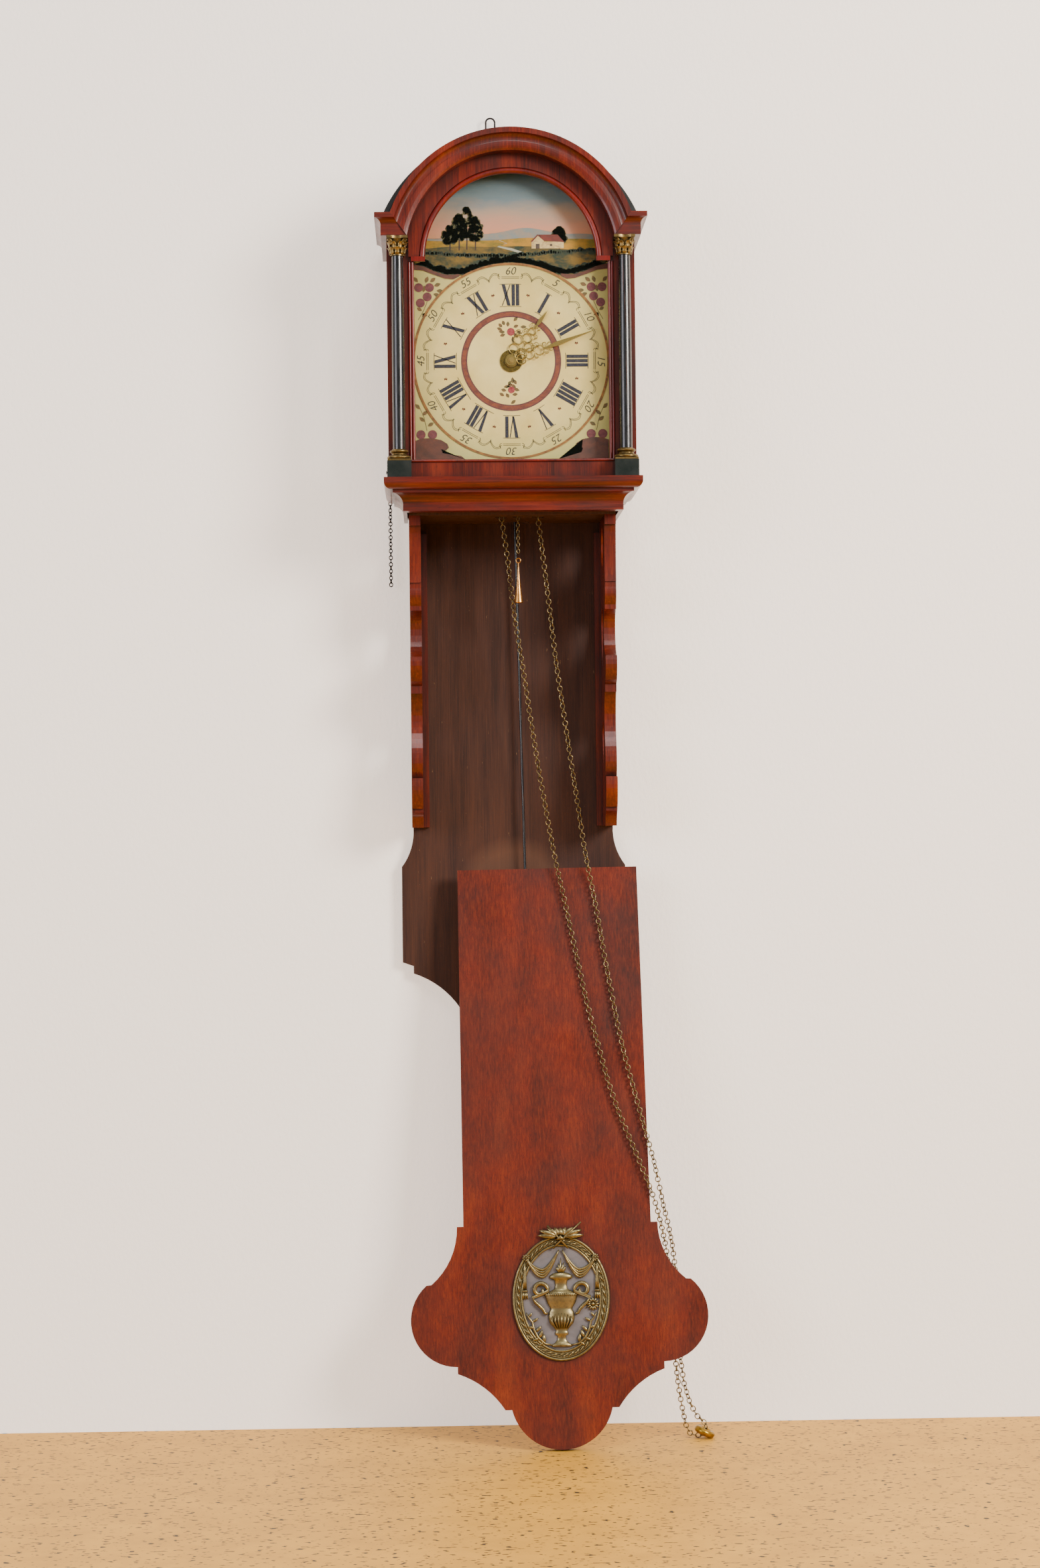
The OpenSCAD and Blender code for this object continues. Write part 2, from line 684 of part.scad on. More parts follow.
module hour_wheel() {
    color(brass) difference() {
        union() {
            at_axis(0, hour_wheel_d, hour_wheel_d + wheel_t) wheel(hour_n, motion_m, -up + 180 / hour_n, 5);
            arbor(0, 0, hour_wheel_d, hour_hand_d + hand_t, hour_pipe_r);
        }
        arbor(0, 0, hour_wheel_d - 1, hour_hand_d + hand_t + 1, cannon_r + running);
    }
}

alarm_d = dial_depth + 0.5;
alarm_t = 1;
hour_hand_d = alarm_d + alarm_t + 0.5;
minute_hand_d = hour_hand_d + hand_t + 1;

// A half outline that starts and ends on the axis, with its mirror image.
function both(half) = concat(half, [for (i = [len(half) - 2:-1:1]) [-half[i][0], half[i][1]]]);

// A pierced hand pointing up: openwork scrolls from the hub to root, then a slim leaf to the tip.
module hand_shape(len, root, w, hub, bore) {
    neck = acos(2.5 / hub);
    half = concat(arc([0, 0], hub, -90, neck, 16),
        bow([2.5, hub * sin(neck)], [w / 2, root * 0.45], -1.5),
        bow([w / 2, root * 0.45], [1.4, root - 2.42], -2.5),
        arc([0, root], 2.8, -45, 45, 6), [[1.4, root + 2.42]],
        bow([1.4, root + 2.42], [0, len], -0.8));
    difference() {
        polygon(both(half));
        for (side = [-1, 1]) {
            translate([side * w * 0.22, root * 0.38]) circle(w * 0.14);
            translate([side * w * 0.2, root * 0.56]) circle(w * 0.11);
        }
        translate([0, root * 0.76]) circle(w * 0.1);
        circle(bore);
    }
}

module hour_hand() {
    color(brass) upright(hour_hand_d + hand_t, hand_t)
        rotate(-hour_deg) hand_shape(hour_len, 46, 19, 9, hour_pipe_r);
}

module minute_hand() {
    color(brass) upright(minute_hand_d + hand_t, hand_t)
        rotate(-minute_deg) hand_shape(minute_len, 62, 16, 7, cannon_r);
}

module alarm_disc() {
    color("#7a6a30") upright(alarm_d + alarm_t, alarm_t) difference() {
        circle(alarm_r);
        circle(hour_pipe_r + running);
        for (i = [0:11]) rotate(i * 30) translate([alarm_r - 2, 0]) circle(0.5, $fn = 16);
    }
}

warning_d = rear_bar_d + 6;
pin_wheel_d = warning_d + strike_room / 4 + 0.5;
strike_great_d = pin_wheel_d + 6;
pin_circle_r = 29.6;

module strike_great_wheel() {
    color(brass) {
        at_axis(great_z, strike_great_d, strike_great_d + great_t) wheel(great_n, great_m, up, 5);
        at_axis(great_z, rear_bar_d + 4, rear_bar_d + 8) {
            circle(sprocket_r - 6);
            for (i = [0:11]) rotate(i * 30) translate([0, -0.8]) square([sprocket_r - 4.6, 1.6]);
        }
        arbor(0, great_z, rear_bar_d + 0.5, middle_bar_d - bar_t - 0.5, arbor_r + 1);
        arbor(0, great_z, rear_bar_d - bar_t, middle_bar_d - bar_t / 2 - 0.2, pivot_r);
    }
}

module pin_wheel() {
    color(brass) {
        at_axis(0, strike_great_d - 1, strike_great_d + great_t + 1)
            teeth(centre_pinion_n, great_m, -up + 180 / centre_pinion_n);
        at_axis(0, pin_wheel_d, pin_wheel_d + wheel_t) wheel(centre_n, centre_m, up, 5);
        for (i = [0:7]) arbor(pin_circle_r * cos(i * 45 + 20), pin_circle_r * sin(i * 45 + 20),
            pin_wheel_d - 5, pin_wheel_d + 1, 1);
        arbor(0, 0, rear_bar_d + 0.5, middle_bar_d - bar_t - 0.5, arbor_r);
        arbor(0, 0, rear_bar_d - bar_t, middle_bar_d - bar_t / 2 - 0.2, pivot_r);
    }
}

module warning_wheel() {
    color(brass) {
        at_axis(third_z, pin_wheel_d - 1, pin_wheel_d + wheel_t + 1)
            teeth(pinion_n, centre_m, -up + 180 / pinion_n);
        at_axis(third_z, warning_d, warning_d + wheel_t) wheel(warning_n, warning_m, up, 4);
        arbor(0, third_z, rear_bar_d + 0.5, middle_bar_d - bar_t - 0.5, arbor_r);
        arbor(0, third_z, rear_bar_d - bar_t, middle_bar_d - bar_t / 2 - 0.2, pivot_r);
    }
}

module fly() {
    color(brass) {
        at_axis(fly_z, warning_d - 1, warning_d + wheel_t + 1)
            teeth(pinion_n, warning_m, -up + 180 / pinion_n);
        translate([-15, -middle_bar_d + bar_t + 4, fly_z - 0.6]) cube([30, strike_room - 20, 1.2]);
        arbor(0, fly_z, rear_bar_d + 0.5, middle_bar_d - bar_t - 0.5, arbor_r);
        arbor(0, fly_z, rear_bar_d - bar_t, middle_bar_d, pivot_r);
    }
}

hammer_gap = 2;
hammer_top = bell_z + 6;

module hammer() {
    color(iron) {
        arbor(hammer_x, hammer_z, post_d[0] + lug_t / 2 + 0.5, post_d[1] - lug_t / 2 - 0.5, 2.5);
        arbor(hammer_x, hammer_z, post_d[0] - lug_t / 2, post_d[1] + lug_t / 2, pivot_r);
        translate([hammer_x - 1.5, -bell_d - 1.5, hammer_z]) cube([3, 3, hammer_top - hammer_z]);
        translate([bell_r + hammer_gap, -bell_d, hammer_top]) rotate([0, 90, 0])
            cylinder(h = hammer_x + 3 - bell_r - hammer_gap, r = 5);
        // Tail that the pins lift
        translate([33, -pin_wheel_d + 2, hammer_z - 4]) cube([hammer_x - 33, 3, 4]);
        translate([33, -pin_wheel_d + 2, hammer_z - 14]) cube([4, 3, 11]);
    }
}

/* The pendulum */

module pendulum_rod() {
    color("#17191a") plumb() difference() {
        union() {
            translate([0, -rod_depth, bob_z - bob_r - 12])
                cylinder(h = anchor_z - 4 - bob_z + bob_r + 12, d = rod_d);
            arbor(0, anchor_z, rod_depth - eye_t / 2, rod_depth + eye_t / 2, 5.5);
        }
        arbor(0, anchor_z, rod_depth - eye_t, rod_depth + eye_t, pivot_r + running);
    }
}

module pendulum_bob() {
    color(brass) plumb() {
        difference() {
            translate([0, -rod_depth, bob_z]) rotate([90, 0, 0]) rotate_extrude() polygon(concat(
                [[0, -bob_t / 2]], bow([0, -bob_t / 2], [bob_r, 0], -2.5),
                bow([bob_r, 0], [0, bob_t / 2], -2.5)));
            translate([0, -rod_depth, bob_z - bob_r - 1]) cylinder(h = 2 * bob_r + 2, d = rod_d);
        }
        // Rating nut
        difference() {
            translate([0, -rod_depth, bob_z - bob_r - 5]) cylinder(h = 4, r = 5, $fn = 8);
            translate([0, -rod_depth, bob_z - bob_r - 6]) cylinder(h = 6, d = rod_d);
        }
    }
}

/* The hood */

hood_back = board_t + 2;
base_top = window_foot_z - 28.5;
front_back = hood_depth - hood_front_t;
side_out = hood_hw - 2;

module above(z) { translate([-400, z]) square([800, 400]); }

module below(z) { translate([-400, z - 400]) square([800, 400]); }

// The arched opening, grown by g all round.
module window_shape(g) {
    translate([-window_hw - g, window_foot_z - g])
        square([2 * (window_hw + g), spring_z - window_foot_z + g]);
    intersection() {
        translate([0, spring_z]) circle(arch_open_r + g, $fn = 128);
        above(spring_z - 1);
    }
}

roof_r = arch_outer_r - 1.3;
block_top = cornice_z + cornice_h;

module hood_front() {
    color(mahogany) upright(hood_depth, hood_front_t) difference() {
        union() {
            translate([-hood_hw, base_top]) square([2 * hood_hw, cornice_z - base_top]);
            intersection() {
                translate([0, spring_z]) circle(roof_r - roof_t, $fn = 128);
                above(cornice_z - 1);
            }
        }
        window_shape(3);
    }
}

groove_r = 136.2;
mould_flat = 24;
mould_rise = 31;

// Ground covered by the cornice block on the right, up to the mitre with the arch.
module block_side() {
    mitre_low = sqrt(pow(groove_r, 2) - pow(cornice_z - spring_z, 2));
    mitre_top = sqrt(pow(arch_outer_r, 2) - pow(block_top - spring_z, 2));
    polygon([[mitre_low, cornice_z - 40], [mitre_low, cornice_z], [mitre_top, block_top], [400, block_top],
        [400, cornice_z - 40]]);
}

module arch_ring(profile) {
    translate([0, -hood_depth, spring_z]) rotate([90, 0, 0]) rotate_extrude($fn = 128) polygon(profile);
}

module arch_moulding() {
    color(mahogany) difference() {
        union() {
            arch_ring(concat([[groove_r, 0], [groove_r, mould_flat - 1]],
                bow([groove_r, mould_flat - 1], [groove_r + 11, mould_flat + 1], 1, 4),
                bow([groove_r + 11, mould_flat + 1], [arch_outer_r - 6.7, mould_rise - 1], -3),
                [[arch_outer_r - 6.7, mould_rise], [arch_outer_r, mould_rise], [arch_outer_r, 0]]));
            // Flat band inside the moulding, down to the springing
            arch_ring([[arch_open_r + 7.6, 0], [arch_open_r + 7.6, 4], [groove_r, 4], [groove_r, 0]]);
        }
        upright(hood_depth + mould_rise + 5, mould_rise + 6) {
            below(spring_z + 3);
            for (side = [0, 1]) mirror([side, 0]) {
                // Room for the capitals
                translate([column_x - 14.1, cornice_z - 60]) square([60, 60.1]);
                difference() {
                    block_side();
                    translate([0, spring_z]) circle(groove_r, $fn = 128);
                }
            }
        }
    }
}

bead_w = 8;
bead_t = 6;
arch_bead = concat([[arch_open_r, 0], [arch_open_r, 2]],
    arc([arch_open_r + 3.75, 2], 3.75, 180, 0), [[arch_open_r + 7.5, 0]]);

module window_bead() {
    color(mahogany) {
        // Arched bead with its returned feet
        difference() {
            arch_ring(arch_bead);
            upright(hood_depth + bead_t + 1, bead_t + 2) below(spring_z + 3);
        }
        for (side = [-1, 1]) translate([side * (arch_open_r + 9) - 9, -hood_depth - bead_t, spring_z - 3])
            cube([18, bead_t, 6]);
        // Twin strips down the jambs, and the rail's bead
        proud() {
            for (side = [-1, 1], x = [bead_w / 4, bead_w * 3 / 4])
                translate([side * (window_hw + x), -hood_depth, window_foot_z - 3.5])
                    cylinder(h = spring_z - window_foot_z + 0.5, r = bead_w / 4, $fn = 24);
            translate([0.1 - column_x + plinth_w / 2, -hood_depth, window_foot_z - 5]) rotate([0, 90, 0])
                cylinder(h = 2 * column_x - plinth_w - 0.2, r = 2, $fn = 24);
        }
    }
}

// A moulding round three sides of the hood, from half widths and heights; its front stands reach further.
module three_sides(profile, reach) {
    intersection() {
        translate([0, -hood_back, 0]) rotate([90, 0, 0]) linear_extrude(400)
            polygon(concat(profile, flip(profile)));
        rotate([90, 0, -90]) translate([0, 0, -400]) linear_extrude(800) polygon(concat(
            [[0, profile[0][1]]], [for (p = profile) [p[0] + reach, p[1]]],
            [[0, profile[len(profile) - 1][1]]]));
    }
}

cornice_over = 15;
cornice_w = hood_hw + cornice_over;
block_reach = hood_depth + mould_rise - cornice_w;
cornice_profile = concat([[0, cornice_z], [cornice_w - 8, cornice_z], [cornice_w - 8, cornice_z + 12]],
    bow([cornice_w - 8, cornice_z + 12], [cornice_w - 1, block_top - 6.5], 2.5),
    [[cornice_w, block_top - 6.5], [cornice_w, block_top], [0, block_top]]);

module cornice() {
    color(mahogany) difference() {
        three_sides(cornice_profile, block_reach);
        // Leaves the blocks and their returns along the sides
        translate([-side_out + hood_side_t, -hood_depth, cornice_z - 1])
            cube([2 * (side_out - hood_side_t), hood_depth, cornice_h + 2]);
        upright(hood_depth + 60, 60) intersection() {
            above(cornice_z - 1);
            difference() {
                square(800, center = true);
                for (side = [0, 1]) mirror([side, 0]) difference() {
                    block_side();
                    translate([0, spring_z]) circle(groove_r, $fn = 128);
                }
            }
        }
        upright(hood_depth, hood_front_t) intersection() {
            translate([0, spring_z]) circle(roof_r - roof_t, $fn = 128);
            above(cornice_z - 2);
        }
    }
}

base_foot = shelf_z + hood_gap;
base_over = 6;
base_w = hood_hw + base_over;
plinth_d = hood_depth + plinth_w - 4;
base_reach = plinth_d - base_w + 4;
base_profile = concat([[0, base_foot], [142, base_foot], [142, base_foot + 5.5]],
    bow([142, base_foot + 5.5], [base_w - 13, base_top - 19], 4),
    [[base_w - 11, base_top - 19], [base_w - 11, base_top - 15], [base_w - 9, base_top - 15]],
    bow([base_w - 9, base_top - 15], [base_w, base_top - 5], -3), [[base_w, base_top], [0, base_top]]);

module base_moulding() {
    color(mahogany) difference() {
        three_sides(base_profile, base_reach);
        translate([-board_hw - 3, -front_back, base_foot - 1])
            cube([2 * board_hw + 6, front_back, base_top - base_foot + 2]);
    }
}

side_window = [hood_back + 28, front_back - 29, -95, 105];

module hood_side(side) {
    color(mahogany) difference() {
        translate([side * (side_out - hood_side_t / 2) - hood_side_t / 2, -front_back, base_top])
            cube([hood_side_t, front_back - hood_back, cornice_z - base_top]);
        translate([side * side_out - 20, -side_window[1], side_window[2]])
            cube([40, side_window[1] - side_window[0], side_window[3] - side_window[2]]);
    }
}

module hood_side_left() { hood_side(-1); }
module hood_side_right() { hood_side(1); }

module side_glass() {
    color("#c8d4d4", 0.4) for (side = [-1, 1])
        translate([side * (side_out - hood_side_t - glass_t / 2) - glass_t / 2,
            -side_window[1] - 6, side_window[2] - 6])
            cube([glass_t, side_window[1] - side_window[0] + 12, side_window[3] - side_window[2] + 12]);
}

module hood_roof() {
    color("#1c211d") upright(hood_depth, hood_depth - hood_back) intersection() {
        translate([0, spring_z]) difference() {
            circle(roof_r, $fn = 128);
            circle(roof_r - roof_t, $fn = 128);
        }
        above(block_top);
    }
}

module hood_glass() {
    color("#d5dede", 0.3) upright(front_back, glass_t) window_shape(6);
}

column_depth = hood_depth + plinth_w / 2 - 4;
plinth_top = base_top + plinth_h;
capital_z = cornice_z - capital_h;

// Keeps what stands proud of the hood's face.
module proud() {
    intersection() {
        children();
        translate([-300, -hood_depth - 100, -300]) cube([600, 100, 600]);
    }
}

module columns() {
    h = capital_z - plinth_top - base_h;
    color("#17191a") for (x = [-column_x, column_x]) proud()
        translate([x, -column_depth, plinth_top + base_h]) rotate_extrude() polygon(concat(
            [[0, 0], [column_d / 2, 0]], bow([column_d / 2, 0], [column_d / 2 - 0.7, h], -0.5), [[0, h]]));
}

// A ring of round-backed leaves as a flat shape.
module leaves(r, w, turn) {
    for (i = [0:7]) rotate(i * 45 + turn) translate([r, 0]) circle(w / 2, $fn = 24);
    circle(r);
}

// Bell of the capital with two rings of leaves, corner scrolls and a hollow-sided slab.
module capital() {
    bell_top = capital_h - 3.5;
    rotate_extrude() polygon(concat([[0, 0], [9.4, 0], [9.4, 1.5]],
        bow([7.4, 1.5], [11, bell_top], 1.5), [[0, bell_top]]));
    translate([0, 0, 1.5]) linear_extrude(8) leaves(7.2, 4.6, 0);
    translate([0, 0, 9.5]) linear_extrude(6.5) leaves(8.6, 4.6, 22.5);
    for (i = [0:3]) rotate(i * 90 + 45) translate([12, 0, bell_top - 3]) rotate([90, 0, 0])
        translate([0, 0, -1.6]) cylinder(h = 3.2, r = 3, $fn = 24);
    translate([0, 0, bell_top]) linear_extrude(3.5) difference() {
        square(27, center = true);
        for (i = [0:3]) rotate(i * 90) translate([25, 0]) circle(14);
    }
}

module capitals() {
    color("#c8a25a") for (x = [-column_x, column_x])
        proud() translate([x, -column_depth, capital_z]) capital();
}

module column_bases() {
    color(brass) for (x = [-column_x, column_x]) proud() translate([x, -column_depth, plinth_top]) {
        translate([-plinth_w / 2 + 0.5, -plinth_w / 2 + 0.5, 0]) cube([plinth_w - 1, plinth_w - 1, 2.5]);
        rotate_extrude() polygon(concat([[0, 2.5], [14, 2.5]], bow([14, 2.5], [13, 7], -2.2), [[11, 7.6]],
            bow([11, 7.6], [10.4, 10.6], 1), [[11.2, 11.2]], bow([11.2, 11.2], [10, 14.4], -1.5),
            [[9, base_h], [0, base_h]]));
    }
}

module plinths() {
    color("#16201c") for (x = [-column_x, column_x])
        translate([x - plinth_w / 2, -plinth_d, base_top]) cube([plinth_w, plinth_w - 4, plinth_h]);
}

/* The tail front, as it stands on the floor and leans back */

shoulder_v = 288;
neck_hw = 131;
step_v = 108.5;
step_hw = 134;
ledge_v = 52;
ledge_hw = 73.7;
tip_hw = 65;
tail_half = concat(
    [[tail_top_hw, tail_len], [tail_top_hw + 3.3, shoulder_v], [neck_hw, shoulder_v]],
    bow([neck_hw, shoulder_v], [neck_hw + 35, shoulder_v - 74], -9.2),
    arc([lobe_hw - 59.5, step_v + 59.5], 59.5, 50, -90, 18),
    [[step_hw, step_v - 9]],
    bow([step_hw, step_v - 9], [ledge_hw, ledge_v], -6.5),
    [[tip_hw, ledge_v]],
    bow([tip_hw, ledge_v], [0, 0], 14.6, 12));

module placed_tail() {
    translate([tip_x, -tip_depth, tail_t * sin(lean_deg) - floor_drop]) rotate([-lean_deg, 0, 0])
        rotate([0, -askew_deg, 0]) children();
}

pane_w = oval_w - 6;
pane_h = oval_h - 6;
rebate = 3;

module tail_front() {
    color(mahogany) placed_tail() difference() {
        upright(0, tail_t) polygon(concat(tail_half, flip(tail_half)));
        translate([0, -1, oval_v]) upright(0, tail_t + 2)
            polygon(oval(oval_w - 2 * oval_rim, oval_h - 2 * oval_rim));
        translate([-pane_w / 2, tail_t - rebate, oval_v - pane_h / 2]) cube([pane_w, rebate + 1, pane_h]);
    }
}

module tail_window() {
    color("#d5dede", 0.3) placed_tail()
        translate([-pane_w / 2 + 0.5, tail_t - rebate, oval_v - pane_h / 2 + 0.5])
            cube([pane_w - 1, glass_t, pane_h - 1]);
}

ornament_t = 2.5;

// A garland hanging between two points, w apart.
module swag(w, drop, t) {
    polygon(concat([[-w / 2, 0]], bow([-w / 2, 0], [w / 2, 0], -drop),
        bow([w / 2, 0], [-w / 2, 0], drop - t)));
}

module tassel(h) {
    translate([0, h - 3]) circle(2.4, $fn = 24);
    polygon([[-1.2, h - 4], [-3, 0], [3, 0], [1.2, h - 4]]);
}

// Urn with handles, foot and flame.
module urn() {
    body = concat([[0, 0], [7, 0], [7, 3], [3, 5], [3, 9]], bow([3, 9], [13, 26], -5),
        [[12, 29], [14, 31], [14, 34], [8, 35], [8, 38], [4, 41], [4, 44], [0, 44]]);
    polygon(concat(body, flip(body)));
    for (side = [-1, 1]) difference() {
        translate([side * 15, 28]) circle(6.5);
        translate([side * 15, 28]) circle(4.2);
    }
    translate([0, 44]) polygon(concat([[-3, 0]], bow([-3, 0], [0, 14], 3), bow([0, 14], [3, 0], 3)));
}

module bird() {
    polygon(concat([[-13, 1]], bow([-13, 1], [-3, 12], 2), bow([-3, 12], [3, 16], 1), [[7, 15], [4, 13]],
        bow([4, 13], [6, 4], 2), [[2, 0], [-6, 0]]));
    polygon(concat([[-4, 9]], bow([-4, 9], [-15, 14], -2), bow([-15, 14], [-8, 3], 3)));
}

module window_ornament() {
    inner_w = oval_w - 2 * oval_rim;
    inner_h = oval_h - 2 * oval_rim;
    color(brass) placed_tail() translate([0, 0, oval_v]) {
        upright(ornament_t, ornament_t) difference() {
            polygon(oval(oval_w, oval_h));
            polygon(oval(inner_w, inner_h));
        }
        // Raised edges of the border
        for (e = [[0, 1.6], [2 * oval_rim - 3.2, 1.6]]) upright(ornament_t + 1.5, 1.5) difference() {
            polygon(oval(oval_w - e[0], oval_h - e[0]));
            polygon(oval(oval_w - e[0] - 2 * e[1], oval_h - e[0] - 2 * e[1]));
        }
        upright(ornament_t - 0.5, ornament_t - 0.7) {
            translate([0, -26]) urn();
            // Standard under the urn down to the border
            translate([-2.5, -inner_h / 2 - 2]) square([5, inner_h / 2 - 24]);
            translate([0, -40]) circle(6);
            for (side = [-1, 1]) {
                translate([side * 23, 32]) swag(38, 9, 4);
                translate([side * 23, -22]) swag(36, 11, 4);
                translate([side * 8, 12]) tassel(18);
                translate([side * 38, 4]) tassel(26);
                translate([side * 30, -38]) tassel(14);
                translate([side * 40 - 1, -24]) square([2, 56]);
            }
        }
        translate([0, 0, oval_h / 2 - 2]) upright(ornament_t, ornament_t) bird();
    }
}

/* Chains and their small weights: plain tubes as wide as the links */

// Sweeps a round tube of n sides along a route.
module tube(route, d, n = 8) {
    last = len(route) - 1;
    dirs = [for (i = [0:last]) let (v = route[min(i + 1, last)] - route[max(i - 1, 0)]) v / norm(v)];
    rings = [for (i = [0:last])
        let (u = cross(dirs[i], [0.02, 1, 0.03]), s = u / norm(u), w = cross(dirs[i], s))
        for (k = [0:n - 1]) route[i] + d / 2 * (s * cos(k * 360 / n) + w * sin(k * 360 / n))];
    polyhedron(rings, concat([[for (k = [0:n - 1]) k]],
        [for (i = [0:last - 1], k = [0:n - 1]) let (j = (k + 1) % n)
            [i * n + k, (i + 1) * n + k, (i + 1) * n + j, i * n + j]],
        [[for (k = [n - 1:-1:0]) last * n + k]]));
}

// Routes: [across, depth, height]
main_route = [
    [-24, 92, -46], [-22, 92, -96], [-14, 91, -192], [-6, 88, -250], [3, 83, -330], [13, 78, -395],
    [23, 73, -464], [34, 68, -536], [45, 63, -600], [55, 60, -655], [63, 59, -690], [72, 65, -735],
    [80, 71, -775], [89, 79, -820], [98, 85, -860], [108, 91, -898], [118, 98, -938], [130, 104, -975],
    [143, 109, -1008], [157, 115, -1042], [169, 120, -1072], [179, 122, -1102], [186, 117, -1130],
    [192, 107, -1158], [197, 100, -1200], [200, 97, -1250], [203, 96, -1300], [207, 97, -1340],
    [212, 98, -1372], [216, 98, -1392], [221, 98, -1403.5], [228, 98, -1407.1], [234, 98, -1407.1],
    [238.5, 98, -1405.8], [241.4, 98, -1401.6], [243, 97.5, -1396], [240, 96, -1389.5], [231, 95, -1382],
    [222, 94, -1364], [215, 91, -1340],
    [210, 89, -1300], [208, 90, -1250], [206, 94, -1200], [201, 103, -1158], [195, 112, -1128],
    [188, 118, -1100], [182, 117, -1070], [177, 114, -1045], [169, 110, -1014], [160, 105, -980],
    [150, 99, -942], [141, 93, -906], [133, 87, -868], [125, 79, -822], [118, 73, -782], [112, 67, -742],
    [105, 60, -700], [99, 59, -668], [92, 61, -630], [85, 65, -579], [76, 69, -520], [66, 74, -451],
    [57, 79, -388], [49, 83, -317], [41, 88, -250], [34, 91, -192], [27, 92, -96], [24, 92, -46]];
alarm_route = [for (z = [-95, -120, -150, -180, -210, -245]) [8, alarm_chain_depth, z]];
side_route = [for (z = [-131.5, -160, -200, -240, -281]) [-160.5, 9, z]];

function placed(route) = [for (p = route) [p[0], -p[1], p[2]]];

// The main chain's ends stay with the chain wheel, and its foot with the tail front.
main_path = [for (p = main_route) let (up = min(1, max(0, (p[2] + 600) / 400)))
    [p[0], p[1] + up * (chain_depth - main_route[0][1]), p[2]]];

module main_chain() { color("#8c7b5a") tube(placed(main_path), chain_d); }
module alarm_chain() { color("#8c7b5a") tube(placed(alarm_route), alarm_chain_d); }
module side_chain() { color("#202020") tube(placed(side_route), side_chain_d); }

module ring_weight() {
    color("#a8842a") translate([241, -98, ring_t / 2 + 4.1 - floor_drop]) rotate([0, 25, 0])
        rotate_extrude() translate([(ring_od - ring_t) / 2, 0]) circle(d = ring_t, $fn = 32);
}

module cone_weight() {
    eye_z = -263;
    color("#c98f4a") translate([8, -alarm_chain_depth, eye_z]) {
        // Wire eye that the chain's last link holds
        translate([0, 0, 8]) rotate([90, 0, 0]) rotate_extrude() translate([3, 0]) circle(0.7, $fn = 16);
        cylinder(h = 5, r = 0.7, $fn = 24);
        translate([0, 0, -cone_len]) rotate_extrude() polygon(concat(
            [[0, 0], [cone_d / 2 - 1, 0], [cone_d / 2, 1]],
            bow([cone_d / 2, 1], [1, cone_len], 0.8), [[0, cone_len]]));
    }
}

backboard();
bracket_left();
bracket_right();
guide_rails();
hanging_loop();
seat_board();
chain_nail();
cage_plates();
cage_posts();
front_bar();
middle_bar();
rear_bar();
pendulum_cock();
bell_stand();
bell();
dial();
dial_feet();
great_wheel();
centre_wheel();
third_wheel();
escape_wheel();
anchor();
minute_wheel();
hour_wheel();
hour_hand();
minute_hand();
alarm_disc();
strike_great_wheel();
pin_wheel();
warning_wheel();
fly();
hammer();
pendulum_rod();
pendulum_bob();
hood_front();
arch_moulding();
window_bead();
cornice();
base_moulding();
hood_side_left();
hood_side_right();
hood_roof();
hood_glass();
side_glass();
columns();
capitals();
column_bases();
plinths();
tail_front();
tail_window();
window_ornament();
main_chain();
ring_weight();
alarm_chain();
cone_weight();
side_chain();
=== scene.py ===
"""Looks of a tail clock: finishes, link chains, the painted dial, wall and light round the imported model.

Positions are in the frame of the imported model: X to the right, -Y to the front, Z up. Sizes are given
in millimetres and turned to metres where a mesh is made. A depth is how far a thing stands in front
of the wall, so it is -Y.
"""

from __future__ import annotations

import json
import logging
import math
import random
from collections.abc import Callable, Iterable, Sequence
from dataclasses import dataclass, field
from enum import Enum
from typing import ClassVar

import bmesh
import bpy
from mathutils import Matrix, Vector

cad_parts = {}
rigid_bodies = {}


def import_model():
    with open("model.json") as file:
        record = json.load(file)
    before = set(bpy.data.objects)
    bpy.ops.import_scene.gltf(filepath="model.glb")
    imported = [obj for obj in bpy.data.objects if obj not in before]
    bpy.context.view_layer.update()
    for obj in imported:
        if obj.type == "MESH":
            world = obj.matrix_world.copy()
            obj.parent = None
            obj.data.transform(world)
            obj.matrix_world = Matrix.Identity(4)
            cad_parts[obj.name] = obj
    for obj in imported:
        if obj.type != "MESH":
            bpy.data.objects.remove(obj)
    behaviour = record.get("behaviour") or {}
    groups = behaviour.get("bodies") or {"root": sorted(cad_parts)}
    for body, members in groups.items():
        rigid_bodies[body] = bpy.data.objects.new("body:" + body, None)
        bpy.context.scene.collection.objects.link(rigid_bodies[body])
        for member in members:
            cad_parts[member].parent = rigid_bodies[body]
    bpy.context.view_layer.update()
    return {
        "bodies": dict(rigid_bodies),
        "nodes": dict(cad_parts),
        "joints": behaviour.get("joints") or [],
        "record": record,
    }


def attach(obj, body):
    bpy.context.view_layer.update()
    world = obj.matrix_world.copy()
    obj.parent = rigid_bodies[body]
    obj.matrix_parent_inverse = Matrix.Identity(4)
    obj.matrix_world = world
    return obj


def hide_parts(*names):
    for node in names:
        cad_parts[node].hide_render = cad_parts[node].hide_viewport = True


LOG = logging.getLogger("tail_clock")

MM = 0.001
TINY = 1e-6
HOUR_DEG = 30.0

Point = tuple[float, float]
Place = tuple[float, float, float]


class Along(Enum):
    """The way that the grain of a board runs, as the number of its axis."""

    ACROSS = 0
    UPRIGHT = 2


class Body(Enum):
    """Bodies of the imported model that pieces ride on."""

    CASE = "case"
    HOOD = "hood"
    COVER = "cover"
    HOURS = "hour_pipe"
    MINUTES = "minute_arbor"


@dataclass(frozen=True)
class Noise:
    """Noise whose spots have a real size across, deep and up, in millimetres."""

    size: Place
    detail: float
    rough: float


@dataclass(frozen=True)
class Stretch:
    """A stretch of a value, and what its two ends are turned to."""

    low: float
    high: float
    start: float
    end: float


